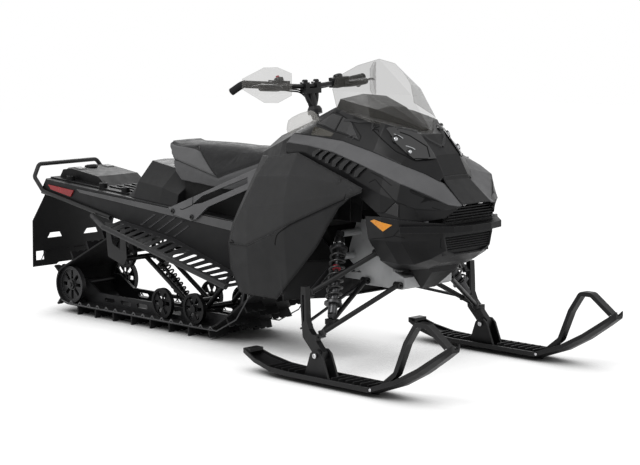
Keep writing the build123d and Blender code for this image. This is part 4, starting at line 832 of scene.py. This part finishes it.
def make_seat():
    """The seat's cover: a swollen closed form with sewn seams, piping and stitches."""
    source = nodes["seat"].data.copy()
    mesh = bmesh.new()
    mesh.from_mesh(source)
    bmesh.ops.remove_doubles(mesh, verts=mesh.verts, dist=0.0002)
    mesh.to_mesh(source)
    mesh.free()
    seat = bpy.data.objects.new("seat_cover", source)
    scene.collection.objects.link(seat)
    remesh = seat.modifiers.new("remesh", "REMESH")
    remesh.mode = "VOXEL"
    remesh.voxel_size = SEAT_VOXEL
    apply_modifiers(seat)
    shift(seat, lambda place: -SEAT_SHRINK * min(1.0, 0.2 + max(0.0, place.z - seat_floor(place.x)) / 0.06))
    rounding = seat.modifiers.new("rounding", "SMOOTH")
    rounding.factor = 0.6
    rounding.iterations = 6
    apply_modifiers(seat)
    swell(seat)
    soft = seat.modifiers.new("soft", "SUBSURF")
    soft.levels = 1
    soft.render_levels = 1
    apply_modifiers(seat)
    seams = seat_seams(surface(seat))
    press_seams(seat, seams)
    seat.data.materials.clear()
    seat.data.materials.append(MATERIALS["seat_vinyl"])
    seat.data.shade_smooth()
    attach(seat, "chassis")
    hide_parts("seat")
    tree = surface(seat)
    piping = bmesh.new()
    thread = bmesh.new()
    for seam in seat_seams(tree):
        path = [place + normal * 0.0008 for place, normal in seam]
        if len(path) > 3:
            tube(piping, path, 0.0022, 6)
            for (place, normal), (after, _) in zip(seam, seam[1:]):
                along = (after - place).normalized()
                across = along.cross(normal).normalized()
                for side in SIDES:
                    centre = place + across * (side * STITCH_OFFSET) + normal * STITCH_LIFT
                    tube(thread, [centre - along * STITCH_HALF, centre + along * STITCH_HALF], 0.0006, 4)
    piece("seat_piping", piping, TRIM_BLACK, smooth=True)
    piece("seat_stitches", thread, THREAD_GREY)


# Body lines and facets


def make_cowl_details():
    """Door outlines, panel gaps, facets and trim of the bodywork, and a painted shade patch in the flank's recess.
    """
    hood = surface("hood")
    flank = surface("flanks", "shoulder_bands")
    belly = surface("belly_pan")
    front = surface("hood", "headlights", "nose_plate")
    lines("hood_door_gap", hood, [
        [(487, -199, 1062), (565, -170, 1115), (615, -176, 1111), (718, -205, 1083), (791, -224, 1025),
         (793, -236, 1006), (643, -238, 1040), (487, -199, 1062)],
        [(643, -236, 1041), (644, -186, 1102)],
    ], 0.0042, 0.0010, GAP_BLACK)
    doors = bmesh.new()
    pad(doors, hood, [(497, -197, 1064), (638, -231, 1045), (638, -187, 1102), (568, -174, 1110)], (16, 8), 0.0022)
    pad(doors, hood, [(649, -232, 1044), (788, -233, 1009), (716, -207, 1079), (650, -189, 1099)], (16, 8), 0.0022)
    piece("hood_doors", doors, FACET_GREY, both=True)
    latch = bmesh.new()
    pad(latch, hood, [(752, -237, 1017), (768, -237, 1013), (770, -229, 1029), (754, -229, 1033)], (2, 2), 0.004)
    piece("hood_latch", latch, TRIM_BLACK, both=True)
    lines("lamp_frame", front, [
        [(820, -192, 1061), (905, -158, 1062), (980, -119, 1034), (1049, -86, 987), (1078, -98, 934),
         (1026, -156, 935), (959, -184, 969), (889, -197, 1018), (820, -192, 1061)],
        [(830, -190, 1056), (905, -170, 1050), (960, -150, 1024)],
    ], 0.006, 0.0016, GAP_BLACK)
    lines("flank_gaps", flank, [
        [(941, -318, 889), (1000, -312, 868), (1042, -307, 842), (1067, -297, 830), (1138, -240, 800),
         (1180, -200, 775)],
        [(943, -331, 846), (969, -322, 860), (1079, -313, 774), (1021, -325, 722), (950, -331, 722)],
        [(1079, -313, 774), (1092, -305, 766), (1150, -228, 750), (1205, -176, 737)],
        [(1092, -305, 762), (1088, -301, 704)],
    ], 0.0036, 0.0010, GAP_BLACK)
    lines("screen_trim", surface("hood", "headlights"), [
        [(664, -232, 1112), (760, -212, 1095), (870, -150, 1072), (965, -90, 1052), (1030, -48, 1014),
         (1058, -3, 984)],
    ], 0.017, 0.0045, TRIM_BLACK)
    smoke = bmesh.new()
    pad(smoke, hood, [(496, -214, 1054), (516, -258, 1019), (639, -257, 1017), (646, -243, 1033)], (6, 16), 0.0026)
    piece("smoke_panes", smoke, SMOKE_PANE, both=True)
    # painted shade: a near-black patch where the flank's recess below the band lies in shade
    shade_patch = bmesh.new()
    pad(shade_patch, flank, [(1060, -298, 838), (1140, -240, 806), (1205, -165, 770), (1140, -236, 788)], (14, 6), 0.0016)
    piece("flank_painted_shade", shade_patch, GAP_BLACK, both=True)
    seams = surface("side_panels", "footwell_panels")
    lines("side_seams", seams, [
        [(105, -386, 519), (257, -405, 524), (430, -418, 594), (630, -421, 675), (830, -415, 757), (935, -400, 800)],
    ], 0.0065, 0.0014, GAP_BLACK)
    facets = bmesh.new()
    pad(facets, flank, [(1026, -324, 722), (1086, -303, 708), (1090, -306, 760), (1079, -313, 769)], (3, 3), 0.0012)
    piece("flank_facets", facets, FACET_GREY, both=True)
    lines("belly_gaps", belly, [
        [(934, -306, 603), (1049, -298, 622), (1096, -287, 672)],
        [(1055, -297, 626), (1192, -165, 628)],
        [(1199, -163, 616), (1190, -158, 577), (1196, -140, 555)],
    ], 0.0034, 0.0010, GAP_BLACK)


def sheet_form(mesh, rows, thickness):
    """A closed thin sheet from rows of points in millimetres, thickened towards the centre plane."""
    grid = [[mm(*point) for point in row] for row in rows]
    outer = [[mesh.verts.new(point) for point in row] for row in grid]
    inner = [[mesh.verts.new(point + Vector((0, thickness, 0))) for point in row] for row in grid]
    grid_faces(mesh, outer)
    grid_faces(mesh, inner)
    edge, back = rim_of(outer), rim_of(inner)
    for index in range(len(edge)):
        after = (index + 1) % len(edge)
        mesh.faces.new((edge[index], edge[after], back[after], back[index]))


def make_panes():
    """Clear side deflectors at the hood's rear and the pressed shields of the engine bay: black sheets that stand
    partly for the bay's dark parts and partly as painted shade of the bay.
    """
    panes = bmesh.new()
    sheet_form(panes, [
        [(376, -266, 1013), (404, -262, 1023), (452, -230, 1052), (504, -192, 1079)],
        [(366, -264, 1036), (398, -258, 1050), (446, -226, 1082), (492, -196, 1102)],
        [(362, -256, 1060), (388, -248, 1074), (430, -222, 1100), (474, -198, 1116)],
        [(360, -247, 1076), (378, -240, 1090), (414, -220, 1110), (456, -202, 1122)],
    ], 0.003)
    piece("side_deflectors", panes, PALE_PANE, both=True, smooth=True)
    # partly painted shade: black sheets close the engine bay where it lies in deep shade
    shade_shields = bmesh.new()
    sheet_form(shade_shields, [
        [(600, -240, 655), (640, -240, 655), (652, -234, 655), (730, -234, 655), (742, -240, 655), (800, -240, 655)],
        [(600, -240, 672), (640, -240, 672), (652, -233, 674), (730, -233, 674), (742, -240, 672), (806, -240, 672)],
        [(596, -240, 740), (640, -240, 742), (652, -233, 744), (730, -233, 742), (742, -240, 740), (812, -240, 730)],
        [(594, -246, 790), (640, -246, 790), (652, -244, 790), (730, -244, 785), (742, -246, 784), (816, -248, 770)],
    ], 0.003)
    piece("bay_shade_shields", shade_shields, TRIM_BLACK, both=True)


def make_brace_details():
    """Bolts and slot lines of the frame braces."""
    brace = surface("frame_braces")
    bolts = bmesh.new()
    for x, z in ((-466, 602), (-327, 585)):
        for side in SIDES:
            place = Vector((x / 1000, side * 0.2331, z / 1000))
            socket_bolt(bolts, place, Vector((0, side, 0)), 0.0125, 0.007)
    piece("brace_bolts", bolts, BOLT_BLACK)
    lines("brace_slots", brace, [
        [(-412, -233, 616), (-396, -233, 615), (-310, -233, 646)],
    ], 0.005, 0.0012, GAP_BLACK)


def make_lamps():
    """Projector lamps in the headlights: dark bowls, bright globes and glints."""
    bowls = bmesh.new()
    globes = bmesh.new()
    lens = surface("headlights")
    for corner, radius in (((940, -163, 1017), 0.0145), ((1010, -150, 965), 0.0125)):
        point = mm(*corner)
        place, normal = under(lens, point, lens.find_nearest(point)[1])
        aim = (normal * 0.6 + Vector((0.8, -0.1, 0.1))).normalized()
        turned(bowls, place, aim, ((radius * 1.25, -0.006), (radius * 1.25, 0.0016), (radius * 1.12, 0.003),
                                   (radius, 0.0024), (radius * 0.8, -0.0005)), 24)
        turned(globes, place, aim, ((radius * 0.8, -0.003), (radius * 0.74, 0.0016), (radius * 0.55, 0.0042),
                                    (radius * 0.28, 0.0058), (radius * 0.05, 0.0062)), 20)
    piece("lamp_bowls", bowls, TRIM_BLACK, both=True)
    piece("lamp_globes", globes, LAMP_BRIGHT, both=True, smooth=True)
    glints = bmesh.new()
    for corners in (
        [(925, -160, 1038), (948, -150, 1032), (962, -142, 1020)],
        [(985, -150, 990), (1005, -140, 985), (1022, -130, 976)],
    ):
        ribbon(glints, lay(lens, corners, 0.004), 0.005, 0.0012)
    piece("lamp_glints", glints, LAMP_BRIGHT, both=True)


SHOCK_FOOT = (814, 430, 274)
SHOCK_HEAD = (703, 268, 600)


def make_front_shocks():
    """Collars and rings of the front shocks."""
    silver = bmesh.new()
    red = bmesh.new()
    black = bmesh.new()
    for side in SIDES:
        foot, head = (mm(x, side * y, z) for x, y, z in (SHOCK_FOOT, SHOCK_HEAD))
        axis = head - foot
        for target, low, high, radius in (
            (silver, 0.865, 0.885, 0.026), (red, 0.56, 0.60, 0.0185), (black, 0.89, 0.95, 0.0225),
            (silver, 0.20, 0.215, 0.014), (black, 0.805, 0.83, 0.0335),
        ):
            place = foot + axis * low
            length = axis.length * (high - low)
            turned(target, place, axis, ((radius * 0.94, 0), (radius, length * 0.2), (radius, length * 0.8),
                                         (radius * 0.94, length)), 24)
    piece("shock_rings_silver", silver, BRIGHT_STEEL)
    piece("shock_rings_red", red, RED_PAINT)
    piece("shock_collars", black, TRIM_BLACK)


def make_bar_details():
    """Levers, pods, hooks, riser fork, clamp bolts, button and lashed control lines of the handlebar."""
    levers = bmesh.new()
    for side in SIDES:
        path = smooth_path([(262, side * 214, 1222), (296, side * 236, 1224), (306, side * 290, 1229),
                            (292, side * 350, 1232), (272, side * 384, 1226)], 6)
        tube(levers, path, 0.0075, 8, 0.6)
    piece("bar_levers", levers, BOLT_BLACK, "handlebars", smooth=True)
    pods = bmesh.new()
    for side in SIDES:
        for y, radius, length in ((196, 0.021, 0.040), (238, 0.018, 0.022)):
            place = mm(243, side * y, 1226)
            turned(pods, place, Vector((0.1, side, 0.05)), (
                (radius * 0.8, -0.001), (radius, 0.004), (radius, length - 0.004), (radius * 0.8, length)), 16)
        turned(pods, mm(236, side * 186, 1247), Vector((-0.35, 0, 1)), (
            (0.020, -0.016), (0.022, 0.0), (0.021, 0.008), (0.017, 0.011)), 16)
        tube(pods, smooth_path([(256, side * 206, 1214), (268, side * 236, 1215), (276, side * 290, 1219),
                                (270, side * 330, 1222)], 5), 0.0195, 8, 0.85)
    piece("bar_pods", pods, TRIM_BLACK, "handlebars")
    hooks = bmesh.new()
    riser = bmesh.new()
    for side in SIDES:
        tube(hooks, smooth_path([(216, side * 366, 1238), (203, side * 379, 1233), (180, side * 389, 1218),
                                 (154, side * 398, 1200.5)], 5), 0.0168, 14)
        tube(riser, smooth_path([(264, side * 12, 1126), (256, side * 28, 1158), (250, side * 34, 1196),
                                 (247, side * 35, 1234)], 5), 0.0105, 8)
        turned(riser, mm(247, side * 35, 1230), Vector((0, 0, 1)), (
            (0.0125, 0), (0.0135, 0.003), (0.0135, 0.009), (0.009, 0.013)), 12)
    turned(riser, mm(277, 0, 1086), Vector((-0.25, 0, 1)), (
        (0.034, 0), (0.034, 0.02), (0.027, 0.034), (0.023, 0.036)), 12)
    piece("grip_hooks", hooks, MATERIALS["grip_rubber"], "handlebars", smooth=True)
    piece("riser_fork", riser, TRIM_BLACK, "handlebars")
    button = bmesh.new()
    turned(button, mm(228, -186, 1259), Vector((-0.35, 0, 1)), (
        (0.0085, -0.004), (0.0085, 0.005), (0.0065, 0.0072)), 16)
    piece("stop_button", button, RED_PAINT, "handlebars")
    bolts = bmesh.new()
    for y in (-47, -23, 23, 47):
        socket_bolt(bolts, mm(247, y, 1229), Vector((0, 0, 1)), 0.0045, 0.004)
    piece("clamp_bolts", bolts, BRIGHT_STEEL, "handlebars")
    lashed = bmesh.new()
    for side, lift in ((-1, 0), (1, 0), (-1, 9)):
        path = smooth_path([
            (236, side * 172, 1213 - lift), (232, side * 120, 1204 - lift), (232, side * 60, 1196 - lift),
            (240, side * 30, 1176 - lift), (252 + lift, side * 21, 1140), (262 + lift, side * 19, 1110),
            (272 + lift, side * 18, 1075)], 6)
        tube(lashed, path, 0.0036, 7)
    piece("bar_lines", lashed, GAP_BLACK, "handlebars", smooth=True)


BELT_RUN = ((-1410, 62), (-1353, 49.5), (-200, 49.5), (-60, 120), (40, 250))
BELT_EDGE_Y = -202.2
BELT_PITCH = 72.6
CLIP_COUNT = 16
CLIP_START_X = -1330
CLIP_FACES_Y = (-204.2, -200.5)
CLIP_OUTLINE = ((-15, 53), (-3, 67), (3, 67), (15, 53), (11, 53), (0, 61), (-11, 53))


def make_track_trim():
    """The belt's pale edge line with its clips, on both sides of the lower run."""
    trim = bmesh.new()
    clips = bmesh.new()
    tube(trim, [mm(x, BELT_EDGE_Y, z) for x, z in BELT_RUN], 0.0042, 4, 0.8)
    for index in range(CLIP_COUNT):
        x = CLIP_START_X + BELT_PITCH * index
        skin_rows(clips, [[clips.verts.new(mm(x + dx, y, z)) for dx, z in CLIP_OUTLINE] for y in CLIP_FACES_Y])
    piece("belt_edges", trim, RIB_GREY, both=True)
    piece("belt_clips", clips, RIB_GREY, both=True)


RIB_START = (-721, 515)
RIB_PITCH = (62, -9)
RIB_LEAN = (0.87, 0.49)
RIB_LENGTHS = (116, 142, 150, 142, 118)
RIB_FOOT = 14
RIB_Y = -217.5


def make_rib_highlights():
    """Painted highlights: pale lines along the pressed ribs of the tunnel's sides."""
    strips = []
    for index, length in enumerate(RIB_LENGTHS):
        x, z = (start + pitch * index for start, pitch in zip(RIB_START, RIB_PITCH))
        tip = (x + RIB_LEAN[0] * length, RIB_Y, z + RIB_LEAN[1] * length)
        strips.append([(x - RIB_FOOT, RIB_Y, z), (x, RIB_Y, z), tip])
    lines("rib_highlights", surface("tunnel"), strips, 0.0034, 0.0010, RIB_GREY)


SKI_BOLTS = ((846, 122, 0.011), (1578, 241, 0.0065), (1205, 34, 0.0065))
SKI_Y = 526
SKI_CAST_REACH = 120


def make_ski_bolts():
    """Pivot and loop bolts of the skis."""
    for side, name in ((-1, "right"), (1, "left")):
        tree = surface("ski_" + name, "spindle_" + name)
        bolts = bmesh.new()
        for x, z, radius in SKI_BOLTS:
            for facing in SIDES:
                start = mm(x, side * SKI_Y + facing * SKI_CAST_REACH, z)
                place = tree.ray_cast(start, Vector((0, -facing, 0)))[0]
                if place is not None:
                    socket_bolt(bolts, place, Vector((0, facing, 0)), radius, 0.0042)
        piece("ski_bolts_" + name, bolts, BRIGHT_STEEL, name + "_ski_leg")


def make_deck_details():
    """Pads and the cap on the cargo deck's rear block, and the flap's pressed lines."""
    deck = surface("cargo_deck")
    pads = bmesh.new()
    pad(pads, deck, [(-1455, -118, 738), (-1345, -118, 725), (-1345, -62, 725), (-1455, -62, 738)], (4, 2), 0.006,
        0.008)
    piece("deck_pads", pads, GLOSS_BLACK, both=True)
    cap = bmesh.new()
    place, normal = under(deck, mm(-1400, 0, 735), Vector((0, 0, 1)))
    turned(cap, place, normal, ((0.034, -0.003), (0.034, 0.006), (0.030, 0.010), (0.018, 0.012), (0.016, 0.009)), 28)
    piece("deck_cap", cap, TRIM_BLACK)
    flap = surface("snow_flap")
    lines("flap_ribs", flap, [
        [(-1560, 30, 540), (-1560, 150, 540), (-1566, 190, 500)],
        [(-1575, 30, 430), (-1575, 170, 430)],
        [(-1585, 20, 300), (-1585, 190, 300)],
    ], 0.010, 0.0022, MATERIALS["black_plastic"])


def make_details():
    """Every piece that the CAD leaves to the scene."""
    make_seat()
    make_cowl_details()
    make_brace_details()
    make_lamps()
    make_front_shocks()
    make_bar_details()
    make_track_trim()
    make_deck_details()
    make_rib_highlights()
    make_ski_bolts()
    make_panes()


make_camera()
make_studio()
dress_frame()
make_details()
